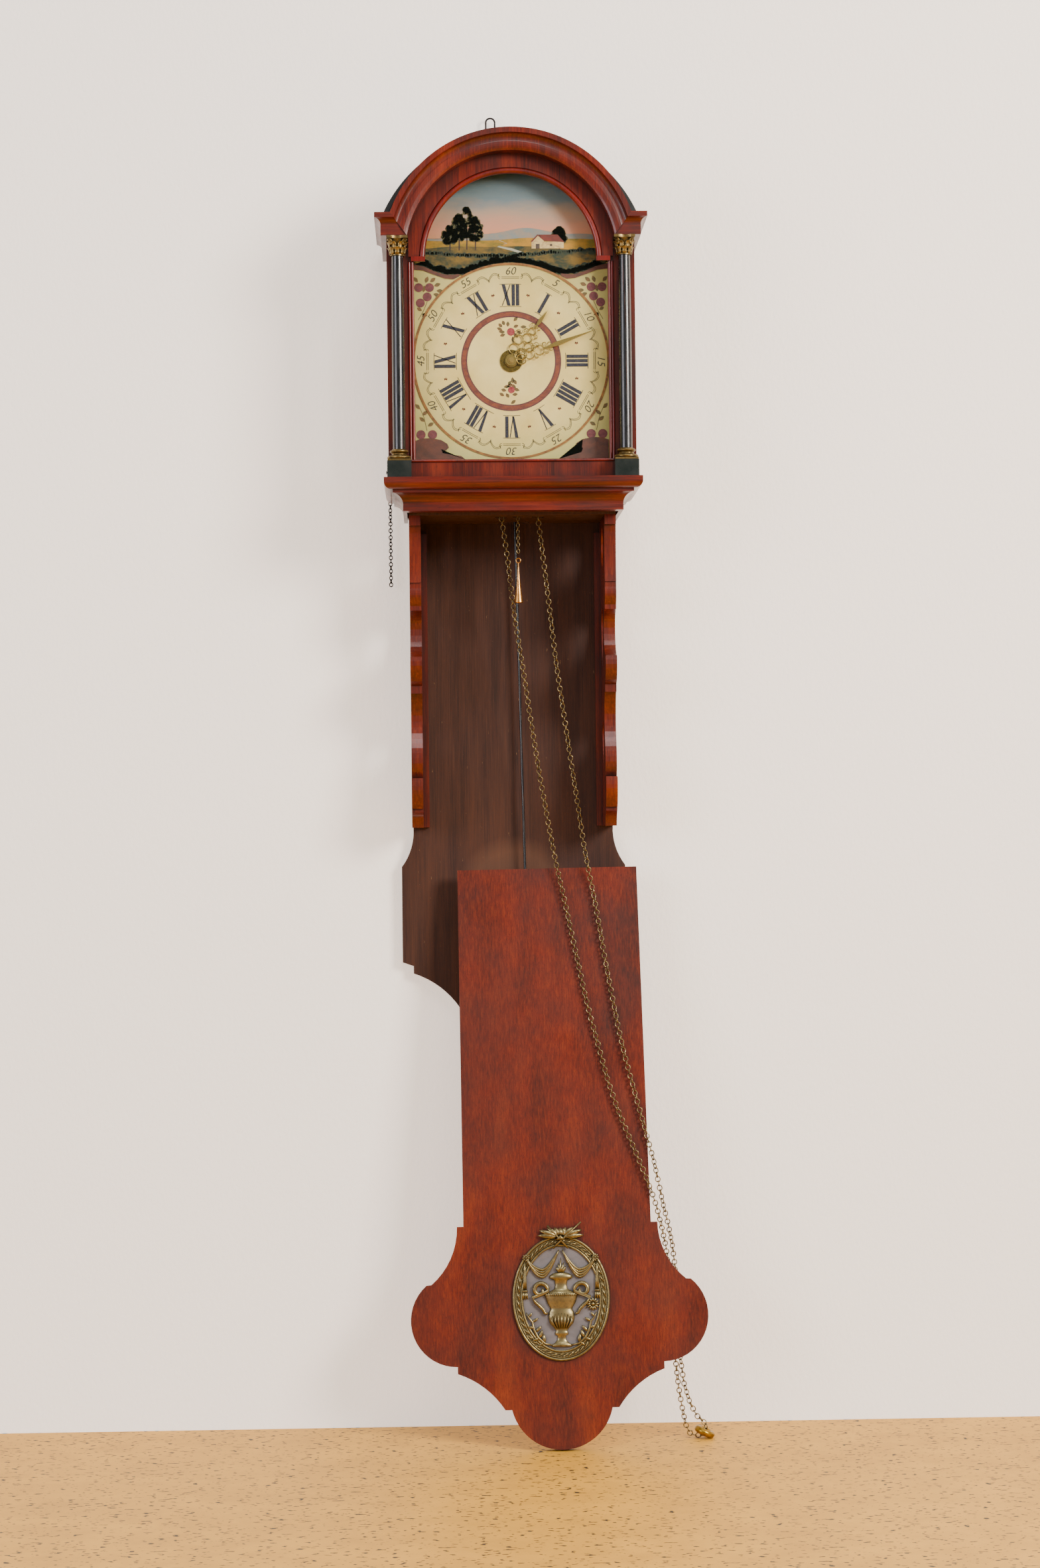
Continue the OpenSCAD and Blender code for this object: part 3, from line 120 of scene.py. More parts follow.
@dataclass(frozen=True)
class Layer:
    """A colour over others, as far as a value's stretch lets it show."""

    colour: str
    reach: Stretch
    way: str = "MIX"


# Shader helpers


def linear(code: str, alpha: float = 1.0) -> tuple[float, float, float, float]:
    """Turns an sRGB hex colour to linear light.

    Args:
        code: Colour such as "#8C3B1E".
        alpha: Opacity.

    Returns:
        Red, green, blue and alpha for a shader socket.
    """
    parts = [int(code[i : i + 2], 16) / 255 for i in (1, 3, 5)]
    light = [p / 12.92 if p <= 0.04045 else ((p + 0.055) / 1.055) ** 2.4 for p in parts]
    return (light[0], light[1], light[2], alpha)


def add(
    material: bpy.types.Material,
    kind: str,
    inputs: dict[str | int, object] | None = None,
    stops: Sequence[tuple[float, str]] = (),
    **settings: object,
) -> bpy.types.Node:
    """Adds a shader node with its settings and links.

    Args:
        material: Material whose tree gets the node.
        kind: Type name of the node.
        inputs: Value or output socket for each named or numbered input.
        stops: Places and hex colours, where the node is a colour ramp.
        **settings: Properties of the node itself.

    Returns:
        The new node.
    """
    tree = material.node_tree
    node = tree.nodes.new(kind)
    for name, value in settings.items():
        setattr(node, name, value)
    if stops:
        ramp = node.color_ramp
        while len(ramp.elements) > 1:
            ramp.elements.remove(ramp.elements[-1])
        ramp.elements[0].position, ramp.elements[0].color = stops[0][0], linear(stops[0][1])
        for place, code in stops[1:]:
            ramp.elements.new(place).color = linear(code)
    for key, value in (inputs or {}).items():
        if isinstance(value, bpy.types.NodeSocket):
            tree.links.new(value, node.inputs[key])
        else:
            node.inputs[key].default_value = value
    return node


def start_material(name: str) -> bpy.types.Material:
    """Makes a material with an empty tree.

    Args:
        name: Name of the finish.

    Returns:
        The material.
    """
    material = bpy.data.materials.new(name)
    material.use_nodes = True
    material.node_tree.nodes.clear()
    return material


def finish_material(
    material: bpy.types.Material, inputs: dict[str | int, object]
) -> bpy.types.Material:
    """Closes a material with a principled surface.

    Args:
        material: Material under way.
        inputs: Values and links of the surface.

    Returns:
        The finished material.
    """
    surface = add(material, "ShaderNodeBsdfPrincipled", inputs)
    add(material, "ShaderNodeOutputMaterial", {"Surface": surface.outputs[0]})
    return material


def spots(material: bpy.types.Material, noise: Noise) -> bpy.types.NodeSocket:
    """Adds a noise in the piece's own coordinates and gives its value, from 0 to 1."""
    coords = add(material, "ShaderNodeTexCoord")
    scale = tuple(1 / (s * MM) for s in noise.size)
    placed = add(
        material, "ShaderNodeMapping", {"Vector": coords.outputs["Object"], "Scale": scale}
    )
    inputs = {
        "Vector": placed.outputs[0],
        "Scale": 1.0,
        "Detail": noise.detail,
        "Roughness": noise.rough,
    }
    return add(material, "ShaderNodeTexNoise", inputs).outputs[0]


def ramp(
    material: bpy.types.Material, value: bpy.types.NodeSocket, stops: Sequence[tuple[float, str]]
) -> bpy.types.NodeSocket:
    """Turns a value to colours by its stops."""
    return add(material, "ShaderNodeValToRGB", {0: value}, stops=stops).outputs[0]


def far_from(material: bpy.types.Material, place: Place) -> bpy.types.NodeSocket:
    """Gives the distance from a place in millimetres, itself in metres."""
    coords = add(material, "ShaderNodeTexCoord")
    inputs = {0: coords.outputs["Object"], 1: tuple(v * MM for v in place)}
    return add(material, "ShaderNodeVectorMath", inputs, operation="DISTANCE").outputs["Value"]


def blend_colours(
    material: bpy.types.Material, factor: object, first: object, second: object, way: str = "MIX"
) -> bpy.types.NodeSocket:
    """Mixes two colours.

    Args:
        material: Material under way.
        factor: Share of the second colour.
        first: First colour or socket.
        second: Second colour or socket.
        way: Blend type of the mix.

    Returns:
        The mixed colour.
    """
    inputs = {0: factor, 6: first, 7: second}
    return add(material, "ShaderNodeMix", inputs, data_type="RGBA", blend_type=way).outputs[2]


def span(
    material: bpy.types.Material, value: bpy.types.NodeSocket, reach: Stretch
) -> bpy.types.NodeSocket:
    """Maps a value's stretch onto another, held at both ends."""
    inputs = {0: value, 1: reach.low, 2: reach.high, 3: reach.start, 4: reach.end}
    return add(material, "ShaderNodeMapRange", inputs, clamp=True).outputs[0]


def cover(
    material: bpy.types.Material, below: object, value: bpy.types.NodeSocket, layer: Layer
) -> bpy.types.NodeSocket:
    """Lays a colour over another where a value lets it show.

    Args:
        material: Material under way.
        below: Colour or socket under the layer.
        value: Value that the layer follows.
        layer: Colour, stretch and blend type.

    Returns:
        The new colour.
    """
    share = span(material, value, layer.reach)
    return blend_colours(material, share, below, linear(layer.colour), layer.way)


def darken_hollows(
    material: bpy.types.Material, below: object, size_mm: float, layer: Layer
) -> bpy.types.NodeSocket:
    """Lays a colour into hollows and along inner corners of about one size, by ambient occlusion: painted
    shade where nearby parts block light, which on brass also stands for tarnish.
    """
    inputs = {"Distance": size_mm * MM}
    depth = add(material, "ShaderNodeAmbientOcclusion", inputs, samples=6)
    return cover(material, below, depth.outputs["AO"], layer)


def uneven(
    material: bpy.types.Material, value: bpy.types.NodeSocket, middle: float, less: float, more: float
) -> bpy.types.NodeSocket:
    """Makes a roughness that follows a noise.

    Args:
        material: Material under way.
        value: Noise value.
        middle: Usual roughness.
        less: How much smoother it gets where the noise is low.
        more: How much rougher it gets where the noise is high.

    Returns:
        The roughness.
    """
    return span(material, value, Stretch(0.3, 0.7, middle - less, middle + more))


def relief(
    material: bpy.types.Material, height: bpy.types.NodeSocket, depth_mm: float, strength: float
) -> bpy.types.NodeSocket:
    """Turns a height into a bump of a real depth.

    Args:
        material: Material under way.
        height: Height from 0 to 1.
        depth_mm: Depth of the full height, in millimetres.
        strength: Strength of the bump.

    Returns:
        The normal for the surface.
    """
    inputs = {"Height": height, "Distance": depth_mm * MM, "Strength": strength}
    return add(material, "ShaderNodeBump", inputs).outputs[0]


# Finishes


@dataclass(frozen=True)
class FrenchPolishedWood:
    """Mahogany under shellac: deep red-brown with fine pores and a soft gloss."""

    name: str
    dark: str = "#220602"
    middle: str = "#5C1607"
    light: str = "#8A300C"
    along: Along = Along.UPRIGHT
    streak_mm: Point = (2.2, 74.8)
    cloud_mm: float = 70.0
    roughness: float = 0.36
    coat: float = 0.3

    PORE_MM: ClassVar[Point] = (0.55, 9.0)
    FIGURE: ClassVar[Point] = (0.4, 2.2)
    PORES: ClassVar[Layer] = Layer("#1C0604", Stretch(0.6, 0.7, 0.0, 0.6))
    # Painted shade: dark red-brown laid into inner corners and recesses by ambient occlusion.
    CORNER_SHADE: ClassVar[Layer] = Layer("#1A0703", Stretch(0.4, 0.95, 0.75, 0.0))
    CORNER_MM: ClassVar[float] = 12.0

    def build(self) -> bpy.types.Material:
        """Builds the wood with its grain along one axis."""
        mat = start_material(self.name)

        def run(width: float, length: float) -> Place:
            """Spot size with its length along the grain."""
            size = [width, width, width]
            size[self.along.value] = length
            return (size[0], size[1], size[2])

        size = self.cloud_mm
        grain = spots(mat, Noise(run(*self.streak_mm), 5.0, 0.65))
        figure = spots(mat, Noise(run(*(size * share for share in self.FIGURE)), 3.0, 0.5))
        cloud = spots(mat, Noise((size, size, size), 3.0, 0.6))
        pores = spots(mat, Noise(run(*self.PORE_MM), 2.0, 0.5))
        base = ramp(mat, grain, [(0.28, self.dark), (0.5, self.middle), (0.75, self.light)])
        tint = ramp(mat, figure, [(0.3, self.dark), (0.55, self.middle), (0.78, self.light)])
        wood = blend_colours(mat, 0.5, base, tint)
        wood = cover(mat, wood, cloud, Layer(self.dark, Stretch(0.45, 0.7, 0.0, 0.45), "MULTIPLY"))
        wood = cover(mat, wood, pores, self.PORES)
        # Painted shade in the inner corners.
        wood = darken_hollows(mat, wood, self.CORNER_MM, self.CORNER_SHADE)
        return finish_material(
            mat,
            {
                "Base Color": wood,
                "Roughness": uneven(mat, cloud, self.roughness, 0.07, 0.1),
                "Coat Weight": self.coat,
                "Coat Roughness": 0.14,
                "Specular IOR Level": 0.3,
                "Normal": relief(mat, grain, 0.18, 0.35),
            },
        )


@dataclass(frozen=True)
class OiledOak:
    """Old softwood or oak board, oiled and dark, with pale rubbed streaks and a matt look."""

    name: str
    dark: str = "#180B07"
    middle: str = "#321910"
    light: str = "#50301E"
    pale_patch_at: Place = (0.0, 0.0, -696.0)
    pale_patch_r_mm: float = 73.0

    GRAIN: ClassVar[Noise] = Noise((1.7, 1.7, 90.0), 6.0, 0.7)
    STREAKS: ClassVar[Noise] = Noise((16.0, 16.0, 190.0), 4.0, 0.6)
    FLECKS: ClassVar[Noise] = Noise((2.6, 2.6, 12.0), 3.0, 0.6)
    STREAK_OIL: ClassVar[Layer] = Layer("#4E2C1C", Stretch(0.35, 0.72, 0.0, 0.55))
    BARE: ClassVar[Layer] = Layer("#8E6A44", Stretch(0.72, 0.8, 0.0, 0.8))
    GLOSS: ClassVar[Stretch] = Stretch(0.3, 0.7, 0.66, 0.52)

    def build(self) -> bpy.types.Material:
        """Builds the board with a paler round patch about the bob's place."""
        mat = start_material(self.name)
        grain, streaks = spots(mat, self.GRAIN), spots(mat, self.STREAKS)
        base = ramp(mat, grain, [(0.25, self.dark), (0.55, self.middle), (0.85, self.light)])
        base = cover(mat, base, streaks, self.STREAK_OIL)
        base = cover(mat, base, spots(mat, self.FLECKS), self.BARE)
        # A paler round patch about the bob's place, fading out at its edge.
        rim = self.pale_patch_r_mm * MM
        pale_patch = Layer("#6A4630", Stretch(rim * 0.8, rim * 1.1, 0.4, 0.0))
        base = cover(mat, base, far_from(mat, self.pale_patch_at), pale_patch)
        return finish_material(
            mat,
            {
                "Base Color": base,
                "Roughness": span(mat, streaks, self.GLOSS),
                "Specular IOR Level": 0.3,
                "Normal": relief(mat, grain, 0.35, 0.5),
            },
        )


@dataclass(frozen=True)
class EbonisedWood:
    """Black-painted wood, polished by hands, rubbed through to brown on its edges."""

    name: str
    black: str = "#07090C"
    rub: str = "#3C1C10"
    roughness: float = 0.24
    rub_from: float = 0.6

    STREAK: ClassVar[Noise] = Noise((5.0, 5.0, 120.0), 3.0, 0.55)
    GRIME: ClassVar[Noise] = Noise((22.0, 22.0, 22.0), 4.0, 0.6)

    def build(self) -> bpy.types.Material:
        """Builds the paint with long rubbed streaks."""
        mat = start_material(self.name)
        streak = spots(mat, self.STREAK)
        rubbed = Layer(self.rub, Stretch(self.rub_from, self.rub_from + 0.06, 0.0, 0.85))
        return finish_material(
            mat,
            {
                "Base Color": cover(mat, linear(self.black), streak, rubbed),
                "Roughness": uneven(mat, spots(mat, self.GRIME), self.roughness, 0.08, 0.14),
                "Coat Weight": 0.25,
                "Coat Roughness": 0.1,
                "Normal": relief(mat, streak, 0.05, 0.15),
            },
        )


@dataclass(frozen=True)
class AgedBrass:
    """Cast or sheet brass darkened in its hollows by tarnish and painted shade, with a broken satin shine."""

    name: str
    bright: str = "#B59A58"
    dull: str = "#6F5A2C"
    roughness: float = 0.36
    spot_mm: float = 7.0
    hollows: bool = True

    FINE: ClassVar[Noise] = Noise((1.1, 1.1, 1.1), 3.0, 0.6)
    # Tarnish and painted shade: dark brown laid into hollows by ambient occlusion.
    HOLLOW_TARNISH_AND_SHADE: ClassVar[Layer] = Layer("#2C2110", Stretch(0.35, 0.85, 0.75, 0.0))
    HOLLOW_MM: ClassVar[float] = 4.0

    def build(self) -> bpy.types.Material:
        """Builds the metal; hollows darkens what lies deep, as tarnish and painted shade."""
        mat = start_material(self.name)
        stain = spots(mat, Noise((self.spot_mm, self.spot_mm, self.spot_mm), 6.0, 0.65))
        tarnish = Layer(self.dull, Stretch(0.35, 0.68, 0.0, 0.9))
        colour = cover(mat, linear(self.bright), stain, tarnish)
        if self.hollows:
            # Tarnish and painted shade in the hollows.
            colour = darken_hollows(mat, colour, self.HOLLOW_MM, self.HOLLOW_TARNISH_AND_SHADE)
        return finish_material(
            mat,
            {
                "Base Color": colour,
                "Metallic": 0.92,
                "Roughness": uneven(mat, stain, self.roughness, 0.08, 0.18),
                "Normal": relief(mat, spots(mat, self.FINE), 0.08, 0.25),
            },
        )


@dataclass(frozen=True)
class ForgedIron:
    """Blackened iron from the forge: dark, uneven and slightly lumpy."""

    name: str
    dark: str = "#1E1E20"
    rust: str = "#3A2A22"
    roughness: float = 0.5

    STAIN: ClassVar[Noise] = Noise((6.0, 6.0, 6.0), 5.0, 0.65)

    def build(self) -> bpy.types.Material:
        """Builds the iron with a little rust."""
        mat = start_material(self.name)
        stain = spots(mat, self.STAIN)
        rusty = Layer(self.rust, Stretch(0.45, 0.75, 0.0, 0.7))
        return finish_material(
            mat,
            {
                "Base Color": cover(mat, linear(self.dark), stain, rusty),
                "Metallic": 0.75,
                "Roughness": uneven(mat, stain, self.roughness, 0.1, 0.15),
                "Normal": relief(mat, stain, 0.3, 0.4),
            },
        )


@dataclass(frozen=True)
class OldPane:
    """Thin drawn window glass, clear, with a faint green tint."""

    name: str
    tint: str = "#40483E"
    alpha: float = 0.035

    def build(self) -> bpy.types.Material:
        """Builds a pane that lets the dial show through and still mirrors light."""
        inputs = {"Base Color": linear(self.tint), "Roughness": 0.03, "Alpha": self.alpha, "IOR": 1.5}
        return finish_material(start_material(self.name), inputs)


@dataclass(frozen=True)
class OilPaint:
    """Thin oil paint by brush, matt and uneven, gone a little brown with age."""

    name: str
    colour: str
    shade: str
    spot_mm: float = 3.0
    roughness: float = 0.55
    share: float = 0.8

    STROKE: ClassVar[float] = 1.7

    def build(self) -> bpy.types.Material:
        """Builds the paint with its shade laid in by streaky noise."""
        mat = start_material(self.name)
        brush = Noise((self.spot_mm * self.STROKE, self.spot_mm, self.spot_mm), 4.0, 0.65)
        shaded = Layer(self.shade, Stretch(0.38, 0.66, 0.0, self.share))
        colour = cover(mat, linear(self.colour), spots(mat, brush), shaded)
        return finish_material(mat, {"Base Color": colour, "Roughness": self.roughness})


@dataclass(frozen=True)
class DialGround:
    """Cream oil ground on sheet iron, yellowed, with brown rub marks and a greenish rim."""

    name: str
    cream: str = "#E2D084"
    rim_mm: float = 118.0
    middle_mm: Place = (0.0, -150.0, 0.0)

    WASH: ClassVar[Noise] = Noise((60.0, 60.0, 60.0), 4.0, 0.6)
    SPECKS: ClassVar[Noise] = Noise((2.4, 2.4, 2.4), 5.0, 0.7)
    YELLOW: ClassVar[Layer] = Layer("#C8B25C", Stretch(0.35, 0.7, 0.0, 0.8))
    RUBBED: ClassVar[Layer] = Layer("#8E6A30", Stretch(0.68, 0.8, 0.0, 0.55))

    def build(self) -> bpy.types.Material:
        """Builds the ground; it darkens away from the hands' axis."""
        mat = start_material(self.name)
        wash = spots(mat, self.WASH)
        rim = self.rim_mm * MM
        green = Layer("#8E9250", Stretch(rim * 0.75, rim * 1.25, 0.0, 0.7))
        colour = cover(mat, linear(self.cream), wash, self.YELLOW)
        colour = cover(mat, colour, far_from(mat, self.middle_mm), green)
        colour = cover(mat, colour, spots(mat, self.SPECKS), self.RUBBED)
        return finish_material(
            mat,
            {"Base Color": colour, "Roughness": 0.5, "Normal": relief(mat, wash, 0.2, 0.15)},
        )


@dataclass(frozen=True)
class PaintedSky:
    """Evening sky in thin oil: grey-blue above, warm pink and buff towards the land."""

    name: str
    low_mm: float = 158.0
    high_mm: float = 254.0

    CLOUD: ClassVar[Noise] = Noise((55.0, 55.0, 14.0), 4.0, 0.6)
    CLOUD_MM: ClassVar[float] = 30.0
    TONES: ClassVar[tuple[tuple[float, str], ...]] = (
        (0.0, "#B08458"), (0.3, "#BC8468"), (0.5, "#9A8672"), (0.72, "#60747A"), (1.0, "#3E5660"),
    )  # fmt: skip

    def build(self) -> bpy.types.Material:
        """Builds the sky as a wash by height with soft cloud."""
        mat = start_material(self.name)
        coords = add(mat, "ShaderNodeTexCoord")
        split = add(mat, "ShaderNodeSeparateXYZ", {0: coords.outputs["Object"]})
        inputs = {0: spots(mat, self.CLOUD), 1: self.CLOUD_MM * MM, 2: split.outputs["Z"]}
        shift = add(mat, "ShaderNodeMath", inputs, operation="MULTIPLY_ADD")
        rise = Stretch(self.low_mm * MM, self.high_mm * MM, 0.0, 1.0)
        wash = ramp(mat, span(mat, shift.outputs[0], rise), self.TONES)
        return finish_material(mat, {"Base Color": wash, "Roughness": 0.5})


@dataclass(frozen=True)
class PlasteredWall:
    """Emulsion on rough plaster, off-white and softly stippled."""

    name: str
    colour: str = "#E6DFD6"
    glow: str = "#FFF3E6"

    GRIT: ClassVar[Noise] = Noise((5.0, 5.0, 9.0), 4.0, 0.6)

    def build(self) -> bpy.types.Material:
        """Builds the wall with a fine stipple."""
        mat = start_material(self.name)
        return finish_material(
            mat,
            {
                "Base Color": linear(self.colour),
                "Roughness": 0.9,
                "Emission Color": linear(self.glow),
                "Emission Strength": 0.75,
                "Normal": relief(mat, spots(mat, self.GRIT), 1.6, 0.6),
            },
        )


@dataclass(frozen=True)
class SpeckledFloor:
    """Yellow sheet floor with small dark chips."""

    name: str
    ground: str = "#D29A2C"

    WASH: ClassVar[Noise] = Noise((60.0, 60.0, 60.0), 4.0, 0.6)
    CHIPS: ClassVar[Noise] = Noise((9.0, 5.0, 9.0), 2.0, 0.4)
    CLOUD: ClassVar[Layer] = Layer("#B07E20", Stretch(0.35, 0.7, 0.0, 0.5))
    DARK: ClassVar[Layer] = Layer("#1E180E", Stretch(0.63, 0.66, 0.0, 1.0))

    def build(self) -> bpy.types.Material:
        """Builds the floor with its chips."""
        mat = start_material(self.name)
        colour = cover(mat, linear(self.ground), spots(mat, self.WASH), self.CLOUD)
        colour = cover(mat, colour, spots(mat, self.CHIPS), self.DARK)
        return finish_material(mat, {"Base Color": colour, "Roughness": 0.6})


# Mesh helpers


def deselect() -> None:
    """Deselects every object, because the loaded nodes start selected."""
    if bpy.context.mode != "OBJECT":
        bpy.ops.object.mode_set(mode="OBJECT")
    for item in bpy.context.selected_objects:
        item.select_set(False)


def activate(piece: bpy.types.Object) -> None:
    """Makes one object the only selected and active one."""
    deselect()
    piece.select_set(True)
    bpy.context.view_layer.objects.active = piece


def settle(piece: bpy.types.Object, name: str) -> bpy.types.Object:
    """Names a piece and applies its place to its mesh.

    Args:
        piece: Piece that was just made.
        name: Its name.

    Returns:
        The same piece, at the origin.
    """
    piece.name = name
    activate(piece)
    bpy.ops.object.transform_apply(location=True, rotation=True, scale=True)
    return piece


def finish_piece(
    piece: bpy.types.Object, material: bpy.types.Material, body: Body
) -> bpy.types.Object:
    """Dresses a piece and lets it ride on its body.

    Args:
        piece: Piece at the origin.
        material: Its finish.
        body: Body that carries it.

    Returns:
        The piece.
    """
    piece.data.materials.clear()
    piece.data.materials.append(material)
    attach(piece, body.value)
    LOG.info("made %s", piece.name)
    return piece


def mesh_piece(name: str, build: Callable[[bmesh.types.BMesh], None]) -> bpy.types.Object:
    """Makes an object from a function that fills a mesh.

    Args:
        name: Name of the object.
        build: Function that adds the mesh's faces.

    Returns:
        The new object.
    """
    work = bmesh.new()
    build(work)
    data = bpy.data.meshes.new(name)
    work.to_mesh(data)
    work.free()
    piece = bpy.data.objects.new(name, data)
    bpy.context.scene.collection.objects.link(piece)
    return piece


def painted(name: str, outlines: Iterable[Sequence[Point]], depth: float) -> bpy.types.Object:
    """Makes flat painted shapes that face the front.

    Args:
        name: Name of the object.
        outlines: Outlines as points across and up, in millimetres.
        depth: Depth of the paint, in millimetres.

    Returns:
        One object with a thin layer for all the outlines.
    """

    def build(work: bmesh.types.BMesh) -> None:
        """Adds one face for each outline, turned to the front."""
        for outline in outlines:
            area = sum(
                a[0] * b[1] - b[0] * a[1] for a, b in zip(outline, [*outline[1:], outline[0]])
            )
            points = outline if area > 0 else list(reversed(outline))
            verts = [work.verts.new((x * MM, -depth * MM, z * MM)) for x, z in points]
            work.faces.new(verts)
        bmesh.ops.triangulate(work, faces=work.faces[:])

    return mesh_piece(name, build)


def cut_plate(
    name: str, outlines: Iterable[Sequence[Point]], front: float, thick: float, ease: float = 0.2
) -> bpy.types.Object:
    """Makes a plate that faces the front, where an outline inside another is a hole.

    Args:
        name: Name of the object.
        outlines: Closed outlines as points across and up, in millimetres.
        front: Depth of the front face.
        thick: Thickness of the plate.
        ease: Rounding of its edges.

    Returns:
        The plate.
    """
    data = bpy.data.curves.new(name, "CURVE")
    data.dimensions = "2D"
    data.fill_mode = "BOTH"
    data.extrude = (thick / 2 - ease) * MM
    data.bevel_depth = ease * MM
    data.bevel_resolution = 1
    data.offset = -ease * MM
    for outline in outlines:
        spline = data.splines.new("POLY")
        spline.points.add(len(outline) - 1)
        for point, (x, z) in zip(spline.points, outline):
            point.co = (x * MM, z * MM, 0.0, 1.0)
        spline.use_cyclic_u = True
    piece = bpy.data.objects.new(name, data)
    bpy.context.scene.collection.objects.link(piece)
    piece.rotation_euler = (math.pi / 2, 0.0, 0.0)
    piece.location = (0.0, -(front - thick / 2) * MM, 0.0)
    activate(piece)
    bpy.ops.object.convert(target="MESH")
    return settle(piece, name)


def join(name: str, whole: bpy.types.Object, *others: bpy.types.Object) -> None:
    """Joins pieces into the first one.

    Args:
        name: Name of the result.
        whole: Piece that takes up the others.
        *others: Pieces that go into it.
    """
    deselect()
    for piece in (whole, *others):
        piece.select_set(True)
    bpy.context.view_layer.objects.active = whole
    bpy.ops.object.join()
    whole.name = name


def at_depth(points: Iterable[Point], depth: float) -> list[Place]:
    """Gives points across and up one depth."""
    return [(x, depth, z) for x, z in points]


def bead(
    work: bmesh.types.BMesh,
    path: Sequence[Place],
    radii: float | Sequence[float],
    flat: float = 1.0,
    closed: bool = False,
    sides: int = 8,
) -> None:
    """Adds a round bar of changing thickness along a path, with rounded ends.

    Args:
        work: Mesh that gets the bar.
        path: Points across, deep and up, in millimetres.
        radii: Radius, or one radius for each point.
        flat: Share of the radius that is left in depth.
        closed: Whether the bar's end meets its start.
        sides: Number of sides.
    """
    sizes = [radii] * len(path) if isinstance(radii, (int, float)) else list(radii)
    count = len(path)
    rings: list[list[bmesh.types.BMVert]] = []
    for i, (x, d, z) in enumerate(path):
        after = path[(i + 1) % count] if closed else path[min(i + 1, count - 1)]
        before = path[i - 1] if closed else path[max(i - 1, 0)]
        way = Vector((after[0] - before[0], 0.0, after[2] - before[2])).normalized()
        across = Vector((way.z, 0.0, -way.x))
        ring = []
        for k in range(sides):
            a = 2 * math.pi * k / sides
            move = across * math.cos(a) * sizes[i] + Vector((0.0, math.sin(a) * sizes[i] * flat, 0.0))
            ring.append(work.verts.new((Vector((x, -d, z)) + move) * MM))
        rings.append(ring)
    pairs = list(zip(rings, rings[1:] + rings[:1])) if closed else list(zip(rings, rings[1:]))
    for a_ring, b_ring in pairs:
        for k in range(sides):
            n = (k + 1) % sides
            work.faces.new((a_ring[k], b_ring[k], b_ring[n], a_ring[n]))
    if not closed:
        for ring, end, way in ((rings[0], path[0], 1), (rings[-1], path[-1], -1)):
            tip = work.verts.new(Vector((end[0], -end[1], end[2])) * MM)
            for k in range(sides):
                n = (k + 1) % sides
                work.faces.new((tip, ring[k], ring[n]) if way > 0 else (tip, ring[n], ring[k]))


def smooth_cast(name: str, build: Callable[[bmesh.types.BMesh], None]) -> bpy.types.Object:
    """Makes a cast piece with its faces turned outward and shaded smooth.

    Args:
        name: Name of the piece.
        build: Function that adds its bars and bodies.

    Returns:
        The piece.
    """

    def whole(work: bmesh.types.BMesh) -> None:
        """Builds the faces, then turns and smooths them."""
        build(work)
        bmesh.ops.recalc_face_normals(work, faces=work.faces[:])
        for face in work.faces:
            face.smooth = True

    return mesh_piece(name, whole)


def arc(centre: Point, radius: float, start: float, end: float, count: int = 12) -> list[Point]:
    """Points of an arc.

    Args:
        centre: Middle of the arc.
        radius: Its radius.
        start: First angle in degrees, counted from the right, turning left.
        end: Last angle.
        count: Number of stretches.

    Returns:
        The points from start to end.
    """
    angles = [math.radians(start + (end - start) * i / count) for i in range(count + 1)]
    return [(centre[0] + radius * math.cos(a), centre[1] + radius * math.sin(a)) for a in angles]


def turned(points: Iterable[Point], degrees: float, to: Point = (0.0, 0.0)) -> list[Point]:
    """Turns points clockwise about the middle and moves them.

    Args:
        points: Points to turn.
        degrees: Clockwise angle.
        to: Where the middle goes.

    Returns:
        The turned points.
    """
    c, s = math.cos(math.radians(degrees)), math.sin(math.radians(degrees))
    return [(to[0] + c * x + s * y, to[1] - s * x + c * y) for x, y in points]


def stroke(path: Sequence[Point], width: float | Sequence[float]) -> list[list[Point]]:
    """Turns a path into a brush stroke.

    Args:
        path: Points of the stroke's middle.
        width: Width, or one width for each point.

    Returns:
        Four-sided outlines along the path.
    """
    widths = [width] * len(path) if isinstance(width, (int, float)) else list(width)
    left: list[Point] = []
    right: list[Point] = []
    for i, (x, y) in enumerate(path):
        before, after = path[max(i - 1, 0)], path[min(i + 1, len(path) - 1)]
        dx, dy = after[0] - before[0], after[1] - before[1]
        size = math.hypot(dx, dy) or 1.0
        nx, ny = -dy / size * widths[i] / 2, dx / size * widths[i] / 2
        left.append((x + nx, y + ny))
        right.append((x - nx, y - ny))
    return [
        [left[i], left[i + 1], right[i + 1], right[i]]
        for i in range(len(path) - 1)
        if math.dist(path[i], path[i + 1]) > TINY
    ]


def leaf(length: float, width: float, degrees: float, at: Point) -> list[Point]:
    """An outline of a pointed leaf.

    Args:
        length: Length from stalk to tip.
        width: Widest part.
        degrees: Clockwise turn from upright.
        at: Place of the stalk.

    Returns:
        The outline.
    """
    side = [(width / 2 * math.sin(math.pi * t), length * t) for t in (0.0, 0.2, 0.4, 0.6, 0.8)]
    whole = [*side, (0.0, length), *[(-x, y) for x, y in reversed(side[1:])]]
    return turned(whole, degrees, at)


# Sub-assemblies


@dataclass(frozen=True)
class Lamp:
    """An area light that looks at the middle of the clock. Places and sizes are in metres."""

    name: str
    place: Place
    size: float
    power: float
    colour: str


